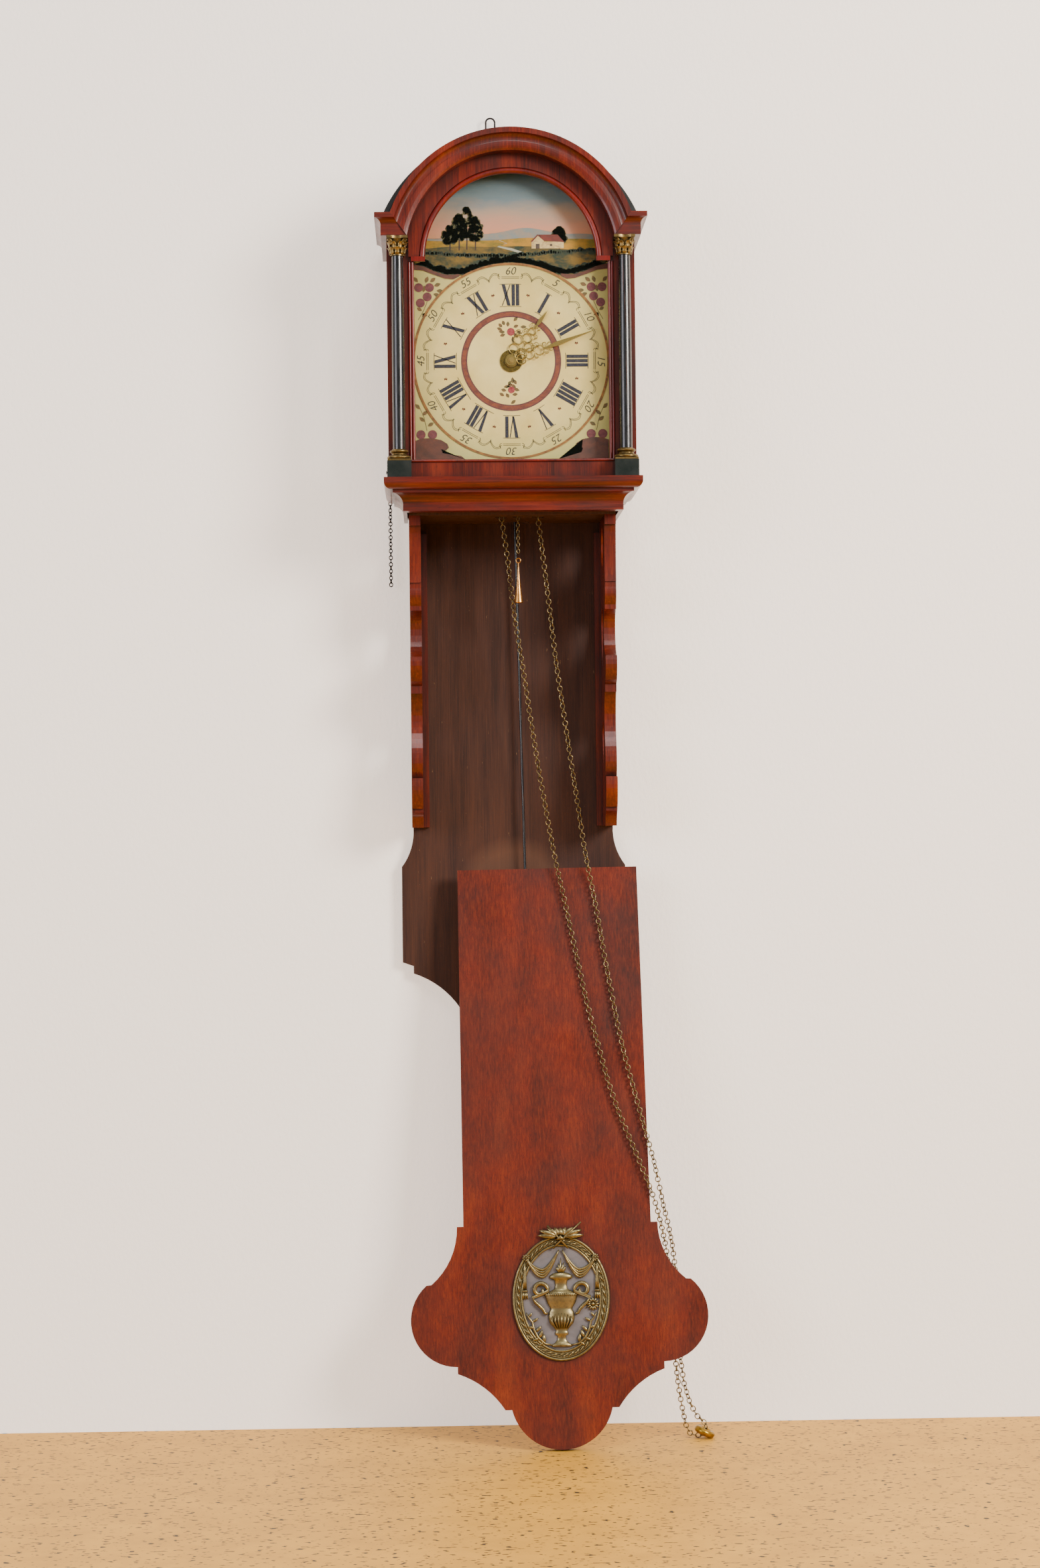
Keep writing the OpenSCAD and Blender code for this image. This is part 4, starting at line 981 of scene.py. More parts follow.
@dataclass
class Room:
    """Wall, floor, camera and lights."""

    floor_mm: float = -1411.0
    wall_gap_mm: float = 4.0
    camera_mm: Place = (-107.8, -4004.7, -577.4)
    yaw_deg: float = 1.686
    pitch_deg: float = 0.419
    roll_deg: float = -0.608
    lens_px: float = 4483.0
    frame_px: tuple[int, int] = (1568, 2364)
    sensor_mm: float = 36.0
    view_m: float = 50.0
    sheet_m: float = 8.0
    aim: Place = (0.0, 0.0, -0.5)
    air: str = "#E8E6E2"
    air_strength: float = 0.5
    lamps: tuple[Lamp, ...] = (
        Lamp("key", (2.5, -2.9, 0.9), 1.2, 230.0, "#FFF6EC"),
        Lamp("fill", (-3.0, -3.0, 0.2), 2.0, 90.0, "#F6F4FF"),
        Lamp("top", (0.3, -2.6, 3.0), 1.6, 70.0, "#FFFFFF"),
    )

    def build_camera(self) -> None:
        """Adds the camera where the photograph was taken."""
        data = bpy.data.cameras.new("viewpoint")
        data.sensor_width = self.sensor_mm
        data.lens = self.lens_px / max(self.frame_px) * data.sensor_width
        data.clip_end = self.view_m
        camera = bpy.data.objects.new("viewpoint", data)
        bpy.context.scene.collection.objects.link(camera)
        yaw, pitch, roll = (math.radians(v) for v in (self.yaw_deg, self.pitch_deg, self.roll_deg))
        forward = Vector(
            (math.sin(yaw) * math.cos(pitch), math.cos(yaw) * math.cos(pitch), math.sin(pitch))
        )
        level = Vector((math.cos(yaw), -math.sin(yaw), 0.0))
        upright = level.cross(forward)
        right = level * math.cos(roll) + upright * math.sin(roll)
        up = upright * math.cos(roll) - level * math.sin(roll)
        turn = Matrix((right, up, -forward)).transposed().to_4x4()
        camera.matrix_world = Matrix.Translation([v * MM for v in self.camera_mm]) @ turn
        bpy.context.scene.camera = camera

    def build_stage(self) -> None:
        """Adds the wall behind and the floor below."""
        wall = PlasteredWall("emulsion_on_plaster").build()
        floor = SpeckledFloor("speckled_floor").build()
        for name, place, turn, finish in (
            ("wall", (0.0, self.wall_gap_mm * MM, 0.6), math.pi / 2, wall),
            ("floor", (0.0, -self.sheet_m / 4, self.floor_mm * MM), 0.0, floor),
        ):
            deselect()
            bpy.ops.mesh.primitive_plane_add(size=self.sheet_m, location=place, rotation=(turn, 0, 0))
            sheet = settle(bpy.context.object, name)
            sheet.data.materials.append(finish)

    def build_lights(self) -> None:
        """Adds soft studio light: a broad key from the right, a fill from the left and a pale sky."""
        for lamp in self.lamps:
            data = bpy.data.lights.new(lamp.name, "AREA")
            data.size = lamp.size
            data.energy = lamp.power
            data.color = linear(lamp.colour)[:3]
            light = bpy.data.objects.new(lamp.name, data)
            bpy.context.scene.collection.objects.link(light)
            light.location = lamp.place
            aim = Vector(self.aim) - Vector(lamp.place)
            light.rotation_euler = aim.to_track_quat("-Z", "Y").to_euler()
        world = bpy.data.worlds.new("pale_room")
        world.use_nodes = True
        world.node_tree.nodes["Background"].inputs[0].default_value = linear(self.air)
        world.node_tree.nodes["Background"].inputs[1].default_value = self.air_strength
        bpy.context.scene.world = world


@dataclass
class LinkChain:
    """A chain of round wire links that lies along a route and stands for a plain solid."""

    name: str
    node: str
    route: Sequence[Place]
    link_w: float
    wire: float
    pitch: float
    far_end: str
    slot: str
    finish: AgedBrass | ForgedIron
    lay: str = "loose"
    with_pieces: tuple[str, ...] = ()

    TILT: ClassVar[float] = 12.0
    SWAY: ClassVar[float] = 16.0
    WIRE_STEPS: ClassVar[tuple[int, int]] = (14, 6)

    def stations(self) -> list[tuple[Vector, Vector]]:
        """Finds the links' middles and directions, a pitch apart along the route."""
        points = [Vector((x, -d, z)) * MM for x, d, z in self.route]
        lengths = [0.0]
        for a, b in zip(points, points[1:]):
            lengths.append(lengths[-1] + (b - a).length)
        count = max(2, round(lengths[-1] / (self.pitch * MM)))
        result = []
        k = 0
        for i in range(count):
            at = (i + 0.5) / count * lengths[-1]
            while k < len(points) - 2 and lengths[k + 1] < at:
                k += 1
            share = (at - lengths[k]) / (lengths[k + 1] - lengths[k])
            before = (points[k] - points[max(k - 1, 0)]).normalized()
            here = (points[k + 1] - points[k]).normalized()
            after = (points[min(k + 2, len(points) - 1)] - points[k + 1]).normalized()
            way = (before + here) * (1 - share) / 2 + (here + after) * share / 2
            result.append((points[k].lerp(points[k + 1], share), way.normalized()))
        return result

    def one_link(self) -> bpy.types.Mesh:
        """Models one link as a ring of wire, drawn out a little along the chain."""
        deselect()
        bpy.ops.mesh.primitive_torus_add(
            major_segments=self.WIRE_STEPS[0],
            minor_segments=self.WIRE_STEPS[1],
            major_radius=(self.link_w - self.wire) / 2 * MM,
            minor_radius=self.wire / 2 * MM,
        )
        ring = bpy.context.object
        stretch = (self.pitch + self.wire) / (self.link_w - self.wire)
        bpy.ops.object.mode_set(mode="EDIT")
        bpy.ops.mesh.select_all(action="SELECT")
        bpy.ops.transform.resize(value=(stretch, 1, 1))
        bpy.ops.object.mode_set(mode="OBJECT")
        data = ring.data
        bpy.data.objects.remove(ring)
        return data

    def build(self) -> None:
        link = self.one_link()

        def lay(work: bmesh.types.BMesh) -> None:
            """Copies the link along the route, each turned a quarter from the last."""
            side = Vector((1.0, 0.0, 0.0))
            for i, (place, way) in enumerate(self.stations()):
                side = (side - way * side.dot(way)).normalized()
                lift = way.cross(side)
                swing = math.radians(self.TILT + 90 * (i % 2) + self.SWAY * math.sin(i * 0.7))
                across = side * math.cos(swing) + lift * math.sin(swing)
                turn = Matrix((way, across, way.cross(across))).transposed().to_4x4()
                copy = link.copy()
                copy.transform(Matrix.Translation(place) @ turn)
                work.from_mesh(copy)
                bpy.data.meshes.remove(copy)
            for face in work.faces:
                face.smooth = True

        piece = mesh_piece(self.name, lay)
        bpy.data.meshes.remove(link)
        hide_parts(self.node)
        finish_piece(piece, self.finish.build(), Body.CASE)


# Routes as in the part's source: across, depth and height in millimetres.
MAIN_ROUTE: list[Place] = [
    (-24, 92, -46), (-22, 92, -96), (-14, 91, -192), (-6, 88, -250), (3, 83, -330), (13, 78, -395),
    (23, 73, -464), (34, 68, -536), (45, 63, -600), (55, 60, -655), (63, 59, -690), (72, 65, -735),
    (80, 71, -775), (89, 79, -820), (98, 85, -860), (108, 91, -898), (118, 98, -938), (130, 104, -975),
    (143, 109, -1008), (157, 115, -1042), (169, 120, -1072), (179, 122, -1102), (186, 117, -1130),
    (192, 107, -1158), (197, 100, -1200), (200, 97, -1250), (203, 96, -1300), (207, 97, -1340),
    (212, 98, -1372), (216, 98, -1392), (221, 98, -1403.5), (228, 98, -1407.1), (234, 98, -1407.1),
    (238.5, 98, -1405.8), (241.4, 98, -1401.6), (243, 97.5, -1396), (240, 96, -1389.5), (231, 95, -1382),
    (222, 94, -1364), (215, 91, -1340), (210, 89, -1300), (208, 90, -1250), (206, 94, -1200),
    (201, 103, -1158), (195, 112, -1128), (188, 118, -1100), (182, 117, -1070), (177, 114, -1045),
    (169, 110, -1014), (160, 105, -980), (150, 99, -942), (141, 93, -906), (133, 87, -868),
    (125, 79, -822), (118, 73, -782), (112, 67, -742), (105, 60, -700), (99, 59, -668), (92, 61, -630),
    (85, 65, -579), (76, 69, -520), (66, 74, -451), (57, 79, -388), (49, 83, -317), (41, 88, -250),
    (34, 91, -192), (27, 92, -96), (24, 92, -46),
]  # fmt: skip


@dataclass
class Chains:
    """The clock's three chains with the ring and the cone on them."""

    alarm_heights: tuple[float, ...] = (-95, -120, -150, -180, -210, -245)
    side_heights: tuple[float, ...] = (-131.5, -160, -200, -240, -281)
    chain_brass: AgedBrass = AgedBrass("drawn_brass_wire", "#9A8860", "#342A16", 0.3, 6.0)
    # The side chain is painted near-black: painted shade for the same chain, seen dark against the bright
    # wall.
    chain_in_painted_shade: ForgedIron = ForgedIron("chain_wire_painted_dark", "#060608", "#181210", 0.5)

    def build(self) -> None:
        """Builds the chains."""
        LinkChain(
            "main_link_chain", "main_chain", MAIN_ROUTE, 7.6, 1.35, 5.8, "object", "chain_brass",
            self.chain_brass, with_pieces=("ring_weight",),
        ).build()  # fmt: skip
        LinkChain(
            "alarm_link_chain", "alarm_chain", [(8, 100, z) for z in self.alarm_heights], 5.2, 1.0,
            4.3, "fitting", "chain_brass", self.chain_brass, "hanging", ("cone_weight",),
        ).build()  # fmt: skip
        # Side chain in near-black painted shade.
        LinkChain(
            "side_link_chain", "side_chain", [(-160.5, 9, z) for z in self.side_heights], 5.6, 1.2,
            4.5, "bare", "chain_black", self.chain_in_painted_shade, "hanging",
        ).build()  # fmt: skip


@dataclass
class RomanNumerals:
    """Hour numerals in blue-black oil, feet to the middle, thick and thin strokes with hairlines."""

    foot_r: float = 72.0
    head_r: float = 99.5
    thick: float = 4.3
    thin: float = 1.1
    gap: float = 1.3
    letter_w: float = 11.5
    hair: float = 0.6
    hair_gap: float = 0.8
    hair_dip: float = 0.5
    serif: float = 2.6
    hours: tuple[str, ...] = (
        "XII", "I", "II", "III", "IIII", "V", "VI", "VII", "VIII", "IX", "X", "XI",
    )  # fmt: skip

    def letter(self, sign: str, left: float) -> tuple[list[list[Point]], float]:
        """Draws one letter from its left side.

        Args:
            sign: I, V or X.
            left: Left side, across.

        Returns:
            Its outlines and its width.
        """
        low, high = self.foot_r, self.head_r
        if sign == "I":
            return [
                [(left, low), (left + self.thick, low), (left + self.thick, high), (left, high)]
            ], self.thick
        w, t, n = self.letter_w, self.thick, self.thin
        if sign == "V":
            foot = left + w * 0.56
            return [
                [(left, high), (left + t, high), (foot + t * 0.35, low), (foot - t * 0.25, low)],
                [(left + w - n, high), (left + w, high), (foot + n * 0.6, low), (foot - n * 0.4, low)],
            ], w
        return [
            [(left, high), (left + t, high), (left + w, low), (left + w - t, low)],
            [(left + w - n, high), (left + w, high), (left + n, low), (left, low)],
        ], w

    def outlines(self) -> list[list[Point]]:
        """Draws all twelve numerals, each between two fine slanting lines."""
        shapes: list[list[Point]] = []
        for hour, text in enumerate(self.hours):
            total = sum(self.letter(s, 0.0)[1] for s in text) + self.gap * (len(text) - 1)
            left = -total / 2
            signs: list[list[Point]] = []
            for sign in text:
                strokes, width = self.letter(sign, left)
                signs += strokes
                left += width + self.gap
            reach = total / 2 + self.serif
            for r in (self.foot_r - self.hair_gap, self.head_r + self.hair_gap):
                line = [(-reach, r - self.hair_dip), (0.0, r), (reach, r - self.hair_dip)]
                signs += stroke(line, self.hair)
            shapes += [turned(s, hour * HOUR_DEG) for s in signs]
        return shapes


@dataclass
class Dial:
    """The painted dial: rings, numerals, minute border, flowers, scrolls and a small landscape."""

    depth: float = 150.0
    layer: float = 0.12
    half_w: float = 128.0
    spring_z: float = 128.0
    arch_r: float = 116.0
    ring_r: float = 126.2
    ring_w: float = 2.8
    inner_ring: Point = (57.5, 64.5)
    minute_r: float = 112.5
    minute_size: float = 14.0
    minute_shear: float = 0.25
    minute_offset: float = -0.1
    seed: int = 7
    numerals: RomanNumerals = field(default_factory=RomanNumerals)

    # Each painted piece with its paint and the number of its layer above the ground.
    PAINTS: ClassVar[dict[str, tuple[OilPaint | PaintedSky, int]]] = {
        "arch_sky": (PaintedSky("sky_oil"), 1),
        "far_hills": (OilPaint("blue_grey_oil", "#6E7A78", "#8E7A66", 9.0), 2),
        "far_meadow": (OilPaint("ochre_oil", "#A87A08", "#4E5408", 12.0), 3),
        "near_meadow": (OilPaint("green_oil", "#12260A", "#7E6006", 15.0), 4),
        "hedges": (OilPaint("dark_green_oil", "#0E1A0C", "#22340E", 5.0), 5),
        "stream": (OilPaint("pale_blue_oil", "#A8A284", "#7E8A80", 4.0), 5),
        "tree_trunks": (OilPaint("bark_oil", "#1E140C", "#3A2412", 2.0), 5),
        "tree_crowns": (OilPaint("leaf_green_oil", "#162208", "#5A5212", 3.2), 6),
        "barn_walls": (OilPaint("buff_oil", "#CDB87C", "#94784A", 3.0), 7),
        "barn_roof": (OilPaint("brick_oil", "#6A2416", "#421610", 3.0), 8),
        "barn_doors": (OilPaint("dark_oil", "#3A3028", "#57463A", 2.0), 8),
        "corner_scrolls": (OilPaint("umber_oil", "#5A3020", "#3A2018", 9.0), 8),
        "minute_border": (OilPaint("grey_ink", "#1C1A12", "#4A4430", 3.0), 1),
        "hour_stars": (OilPaint("brown_ink", "#5E2A1C", "#7A4A28", 2.0), 2),
        "outer_ring": (OilPaint("gold_brown_oil", "#8E5F22", "#4E2C12", 6.0), 9),
        "inner_ring": (OilPaint("red_brown_oil", "#7A3C1E", "#4C1E1C", 4.0), 1),
        "inner_ring_edges": (OilPaint("plum_oil", "#48202A", "#5E3230", 5.0), 2),
        "hour_numerals": (OilPaint("blue_black_oil", "#080A1E", "#3E3E48", 1.3, 0.5, 0.5), 2),
        "flower_stems": (OilPaint("olive_ink", "#4E4A20", "#383418", 3.0), 1),
        "flower_leaves": (OilPaint("olive_oil_paint", "#4E4A1C", "#7A4E2C", 3.0), 2),
        "flower_blooms": (OilPaint("maroon_oil", "#6E3438", "#4A1E24", 2.4), 3),
        "centre_blooms": (OilPaint("red_oil", "#7A1418", "#A0484A", 2.6), 3),
    }
    NUMBER_INK: ClassVar[OilPaint] = OilPaint("thin_ink", "#16150F", "#3A3626", 2.0)

    # Border of each hour, in millimetres: a bar, two curls and two hollows, drawn twice.
    BORDER_W: ClassVar[float] = 0.62
    INSETS: ClassVar[Point] = (0.0, 1.9)
    BAR: ClassVar[Point] = (11.5, 109.4)
    CURL: ClassVar[Place] = (13.2, 2.2, 150.0)
    HOLLOW: ClassVar[tuple[float, ...]] = (0.0, 0.15, 0.3, 0.45, 0.6, 0.75, 0.9, 1.0)
    HOLLOW_R: ClassVar[Place] = (113.5, 5.0, 6.0)
    HOLLOW_DEG: ClassVar[Point] = (7.6, 7.0)
    STAR: ClassVar[Place] = (88.0, 2.4, 0.9)

    # Sprays: places across and up, then the turn of a leaf. The left side mirrors the right one.
    TOP_BLOOMS: ClassVar[tuple[Point, ...]] = ((-108, 84), (-119, 96), (-105, 96), (-117, 76))
    TOP_LEAVES: ClassVar[tuple[Place, ...]] = (
        (-110, 102, 20), (-99, 98, 70), (-100, 88, 110), (-104, 103, 50), (-120, 103, -40), (-113, 90, 10),
        (-96, 92, 95),
    )  # fmt: skip
    TOP_STEM: ClassVar[tuple[Point, ...]] = ((108, 78), (113, 66), (120, 54))
    STEM_LEAVES: ClassVar[tuple[Place, ...]] = ((115, 66, 60), (115, 58, -50), (115, 62, -110))
    FOOT_BLOOMS: ClassVar[tuple[Point, ...]] = ((-118, -95), (-103, -95))
    FOOT_STEM: ClassVar[tuple[Point, ...]] = ((110, -90), (114, -72), (121, -56))
    FOOT_LEAVES: ClassVar[tuple[Place, ...]] = (
        (113, -78, 50), (116, -70, -50), (119, -62, 40), (109, -84, -60),
    )  # fmt: skip
    SPREAD: ClassVar[tuple[int, ...]] = (-128, -104, -84, -62, -40, -18, 24, 48, 70, 92, 116, 150)

    FOOT_SCROLL: ClassVar[tuple[Point, ...]] = (
        (-125.5, -128), (-125.5, -103), (-118, -100), (-105, -99.5), (-92, -102), (-84, -107),
        (-82, -112), (-86, -116), (-92, -114), (-90, -119), (-80, -121), (-66, -123), (-60, -128),
    )  # fmt: skip
    TOP_SCROLL: ClassVar[tuple[Place, ...]] = (
        (-127.4, 123, 7), (-112, 120.5, 5), (-98, 114.5, 4), (-84, 110, 5), (-74, 109.5, 6), (-66, 112, 3),
    )  # fmt: skip
    HEM: ClassVar[tuple[Point, ...]] = (
        (60.0, 111.0), (72.0, 111.0), (84.0, 111.5), (98.0, 116.0), (112.0, 122.0), (128.0, 124.0),
    )  # fmt: skip

    # Landscape: a stream with its widths, trees with foot and height, and a barn.
    STREAM: ClassVar[tuple[Place, ...]] = (
        (-14, 157, 0.8), (-4, 153, 1.4), (-16, 149, 2.2), (2, 145, 3.2), (14, 141, 4.4), (6, 136, 5.6),
        (-8, 131, 7.0),
    )  # fmt: skip
    TREES: ClassVar[tuple[Place, ...]] = (
        (-66, 146, 44), (-56, 147, 52), (-45, 146, 40), (-78, 145, 30), (64, 147, 26),
    )  # fmt: skip
    CLUSTERS: ClassVar[int] = 90
    BARN: ClassVar[dict[str, list[list[Point]]]] = {
        "barn_walls": [
            [(28, 146), (44, 146), (44, 156), (36, 163), (28, 156)],
            [(44, 146), (70, 146), (70, 155), (44, 155)],
        ],
        "barn_roof": [
            [(44, 156), (36, 164), (62, 164), (71, 154)],
            [(27, 155), (36, 164.5), (36.8, 163), (29, 154.6)],
        ],
        "barn_doors": [
            [(33.5, 146), (38.5, 146), (38.5, 152), (33.5, 152)],
            [(52, 149), (55, 149), (55, 152), (52, 152)],
        ],
    }

    def place(self, name: str, shapes: list[list[Point]]) -> None:
        """Adds one layer of paint.

        Args:
            name: Name of the piece in the table of paints.
            shapes: Its outlines.
        """
        finish, level = self.PAINTS[name]
        piece = painted(name, shapes, self.depth + self.layer * level)
        finish_piece(piece, finish.build(), Body.CASE)

    def ring(self, inner: float, outer: float, count: int = 120) -> list[list[Point]]:
        """A ring as short stretches between two radii."""
        a = arc((0, 0), inner, 0, 360, count)
        b = arc((0, 0), outer, 0, 360, count)
        return [[b[i], b[i + 1], a[i + 1], a[i]] for i in range(count)]

    def in_arch(self, shape: Sequence[Point]) -> list[Point]:
        """Draws an outline in to the arch's edge where it would pass it."""
        result = []
        for x, z in shape:
            up = z - self.spring_z
            far = math.hypot(x, up)
            if up > 0 and far > self.arch_r:
                x, z = x * self.arch_r / far, self.spring_z + up * self.arch_r / far
            limit = self.half_w - 0.4
            result.append((max(-limit, min(limit, x)), z))
        return result

    def build_numbers(self) -> None:
        """Paints the hour numerals and the minute numerals."""
        ink = self.NUMBER_INK.build()
        self.place("hour_numerals", self.numerals.outlines())
        for k in range(1, 13):
            deselect()
            bpy.ops.object.text_add()
            text = bpy.context.object
            text.data.body = str(k * 5)
            text.data.size = self.minute_size * MM
            text.data.align_x = "CENTER"
            text.data.offset = self.minute_offset * MM
            text.data.shear = self.minute_shear
            activate(text)
            bpy.ops.object.convert(target="MESH")
            angle = math.radians(HOUR_DEG * k)
            text.location = (
                self.minute_r * MM * math.sin(angle),
                -(self.depth + self.layer * 2) * MM,
                self.minute_r * MM * math.cos(angle),
            )
            upright = Matrix.Rotation(math.pi / 2, 4, "X")
            text.rotation_euler = (Matrix.Rotation(angle, 4, "Y") @ upright).to_euler()
            settle(text, f"minute_number_{k}")
            finish_piece(text, ink, Body.CASE)

    def hollow(self, inset: float, side: float) -> list[Point]:
        """Draws the hollow of the border beside one bar.

        Args:
            inset: Distance of the line from the outer line.
            side: -1 or 1, the side of the bar.

        Returns:
            The points from the bar outward.
        """
        start, bulge, drop = self.HOLLOW_R
        points = []
        for t in self.HOLLOW:
            r = start - inset + bulge * math.sin(math.pi * t)
            a = math.radians(self.HOLLOW_DEG[0] + self.HOLLOW_DEG[1] * t)
            points.append((r * math.sin(a) * side, r * math.cos(a) - drop * t))
        return points

    def build_border(self) -> None:
        """Paints the scalloped double line inside the outer ring, and small stars between the hours."""
        lines: list[list[Point]] = []
        stars: list[list[Point]] = []
        half, high = self.BAR
        curl_x, curl_r, curl_deg = self.CURL
        middle, tip, notch = self.STAR
        spikes = [(tip if i % 2 else notch, i * math.pi / 5) for i in range(10)]
        star = [(r * math.sin(a), middle + r * math.cos(a)) for r, a in spikes]
        for k in range(12):
            for inset in self.INSETS:
                r = high - inset
                paths = [[(-half, r), (half, r)]]
                for side in (-1.0, 1.0):
                    size = curl_r + inset * 0.3
                    paths.append(arc((side * curl_x, r + curl_r), size, -90, -90 + side * curl_deg, 8))
                    paths.append(self.hollow(inset, side))
                for path in paths:
                    lines += [turned(s, k * HOUR_DEG) for s in stroke(path, self.BORDER_W)]
            stars.append(turned(star, (k + 0.5) * HOUR_DEG))
        self.place("minute_border", lines)
        self.place("hour_stars", stars)

    def build_rings(self) -> None:
        """Paints the gold-brown outer ring and the red-brown inner ring."""
        self.place("outer_ring", self.ring(self.ring_r - self.ring_w / 2, self.ring_r + self.ring_w / 2))
        self.place("inner_ring", self.ring(*self.inner_ring))
        edges = self.ring(self.inner_ring[0] - 0.5, self.inner_ring[0] + 0.9)
        edges += self.ring(self.inner_ring[1] - 0.9, self.inner_ring[1] + 0.5)
        self.place("inner_ring_edges", edges)

    def build_flowers(self) -> None:
        """Paints corner sprays and the two small sprays by the hands."""
        blooms: list[list[Point]] = []
        leaves: list[list[Point]] = []
        stems: list[list[Point]] = []
        draw = random.Random(self.seed)
        for side in (-1, 1):
            blooms += [arc((-x * side, z), 5.8, 0, 345, 23) for x, z in self.TOP_BLOOMS]
            leaves += [leaf(9.0, 5.0, -side * a, (-x * side, z)) for x, z, a in self.TOP_LEAVES]
            stems += stroke([(x * side, z) for x, z in self.TOP_STEM], 0.7)
            leaves += [leaf(7.5, 4.4, side * a, (x * side, z)) for x, z, a in self.STEM_LEAVES]
            blooms += [arc((-x * side, z), 6.0, 0, 345, 23) for x, z in self.FOOT_BLOOMS]
            stems += stroke([(x * side, z) for x, z in self.FOOT_STEM], 0.7)
            leaves += [leaf(9.0, 4.8, side * a, (x * side, z)) for x, z, a in self.FOOT_LEAVES]
        for z, turn in ((39.0, 1.0), (-38.0, -1.0)):
            for spread in self.SPREAD:
                length = 6.5 + 2.5 * draw.random()
                reach = 5.0 + 11.0 * draw.random()
                start = turned([(0.0, reach)], spread, (-2.0, z))[0]
                leaves.append(leaf(length, 4.2, spread * turn + 20, start))
        self.place("flower_stems", stems)
        self.place("flower_leaves", leaves)
        self.place("flower_blooms", blooms)
        self.place("centre_blooms", [arc((0, 38), 5.0, 0, 345, 23), arc((0, -37.5), 4.4, 0, 345, 23)])

    def build_scrolls(self) -> None:
        """Paints the brown scrolls of the lower corners and under the landscape."""
        shapes: list[list[Point]] = []
        for side in (-1, 1):
            shapes.append([(x * side, z) for x, z in self.FOOT_SCROLL])
            widths = [float(wide) for _, _, wide in self.TOP_SCROLL]
            shapes += stroke([(x * side, z) for x, z, _ in self.TOP_SCROLL], widths)
        self.place("corner_scrolls", shapes)

    def hem(self, x: float) -> float:
        """Finds the landscape's lower edge: a wavy scroll at the sides, the outer ring between.

        Args:
            x: Place across, in millimetres.

        Returns:
            Its height.
        """
        far = abs(x)
        if far < self.HEM[0][0]:
            return math.sqrt(self.ring_r**2 - far**2)
        for (x0, z0), (x1, z1) in zip(self.HEM, self.HEM[1:]):
            if far <= x1:
                return z0 + (z1 - z0) * (far - x0) / (x1 - x0)
        return self.HEM[-1][1]

    def rolling(self, mean: float, rise: float, waves: float, phase: float) -> list[Point]:
        """Draws a soft line of hills across the arch.

        Args:
            mean: Middle height of the line.
            rise: How far it swings up and down.
            waves: Radians for each millimetre across.
            phase: Where the swing starts, in radians.

        Returns:
            The line from left to right.
        """
        line = []
        for x in range(-127, 128, 6):
            swell = math.sin(x * waves + phase) + 0.4 * math.sin(x * waves * 2.7)
            line.append((x, mean + rise * swell))
        return line

    def ground(self, tops: Sequence[Point], low: float) -> list[Point]:
        """Closes a line of heights down to a level."""
        return self.in_arch([*tops, (tops[-1][0], low), (tops[0][0], low)])

    def build_landscape(self) -> None:
        """Paints the arch: sky, far hills, fields, a hedge, a barn, poplars and a winding stream."""
        around = arc((0, self.spring_z), self.arch_r, 0, 180, 60)
        hem = [(float(x), self.hem(x)) for x in range(-127, 128, 2)]
        self.place("arch_sky", [[(127.4, 130), *around, (-127.4, 130)]])
        self.place("far_hills", [self.ground(self.rolling(166, 5, 0.028, 1.0), 158)])
        self.place("far_meadow", [self.ground(self.rolling(158, 1.6, 0.03, 0.4), 136)])
        near = [*reversed(self.rolling(147, 2.4, 0.022, 2.2)), *hem]
        self.place("near_meadow", [self.in_arch(near)])
        draw = random.Random(self.seed)
        self.place("hedges", self.hedges(draw))
        path, widths = [(x, z) for x, z, _ in self.STREAM], [wide for _, _, wide in self.STREAM]
        self.place("stream", stroke(path, widths))
        self.build_trees(draw)
        for name, shapes in self.BARN.items():
            self.place(name, shapes)

    def hedges(self, draw: random.Random) -> list[list[Point]]:
        """Draws the hedge across the fields and the bushes along the lower edge."""
        bushes: list[list[Point]] = []
        for x in range(-122, 123, 3):
            z = 141 - 4 * math.cos(x * 0.02 + 0.5) + draw.uniform(-1.0, 1.0)
            r = draw.uniform(1.8, 3.4)
            bushes.append(self.in_arch(arc((x, z), r, 0, 330, 11)))
        for x in range(-122, 123, 3):
            r = draw.uniform(3.6, 5.4)
            middle = (x, self.hem(x) + r + draw.uniform(0.0, 2.0))
            bushes.append(self.in_arch(arc(middle, r, 0, 330, 11)))
        return bushes

    def build_trees(self, draw: random.Random) -> None:
        """Paints the trees as trunks under many small clusters of leaves."""
        crowns: list[list[Point]] = []
        trunks: list[list[Point]] = []
        for x, foot, height in self.TREES:
            trunks += stroke([(x, foot - 2), (x + 0.5, foot + height * 0.5)], 1.6)
            for _ in range(self.CLUSTERS):
                up = draw.random()
                wide = 8.5 * math.sin(math.pi * min(1.0, 0.15 + up * 0.85)) + 1.5
                middle = (x + draw.uniform(-wide, wide), foot + height * (0.28 + 0.72 * up))
                crowns.append(self.in_arch(arc(middle, draw.uniform(1.6, 3.4), 0, 324, 9)))
        self.place("tree_trunks", trunks)
        self.place("tree_crowns", crowns)

    def build(self) -> None:
        """Paints the whole dial."""
        self.build_landscape()
        self.build_scrolls()
        self.build_border()
        self.build_rings()
        self.build_numbers()
        self.build_flowers()


@dataclass(frozen=True)
class HandPlan:
    """One hand, upright: its openwork and its blade, in millimetres from the axis.

    Rings and curls are given as place across, place up and radius. The hub has an outer and an inner
    radius. The blade is its right half, from its foot to its tip.
    """

    node: str
    body: Body
    turn: float
    front: float
    rings: tuple[Place, ...]
    curls: tuple[Place, ...]
    hub: Point
    blade: tuple[Point, ...]


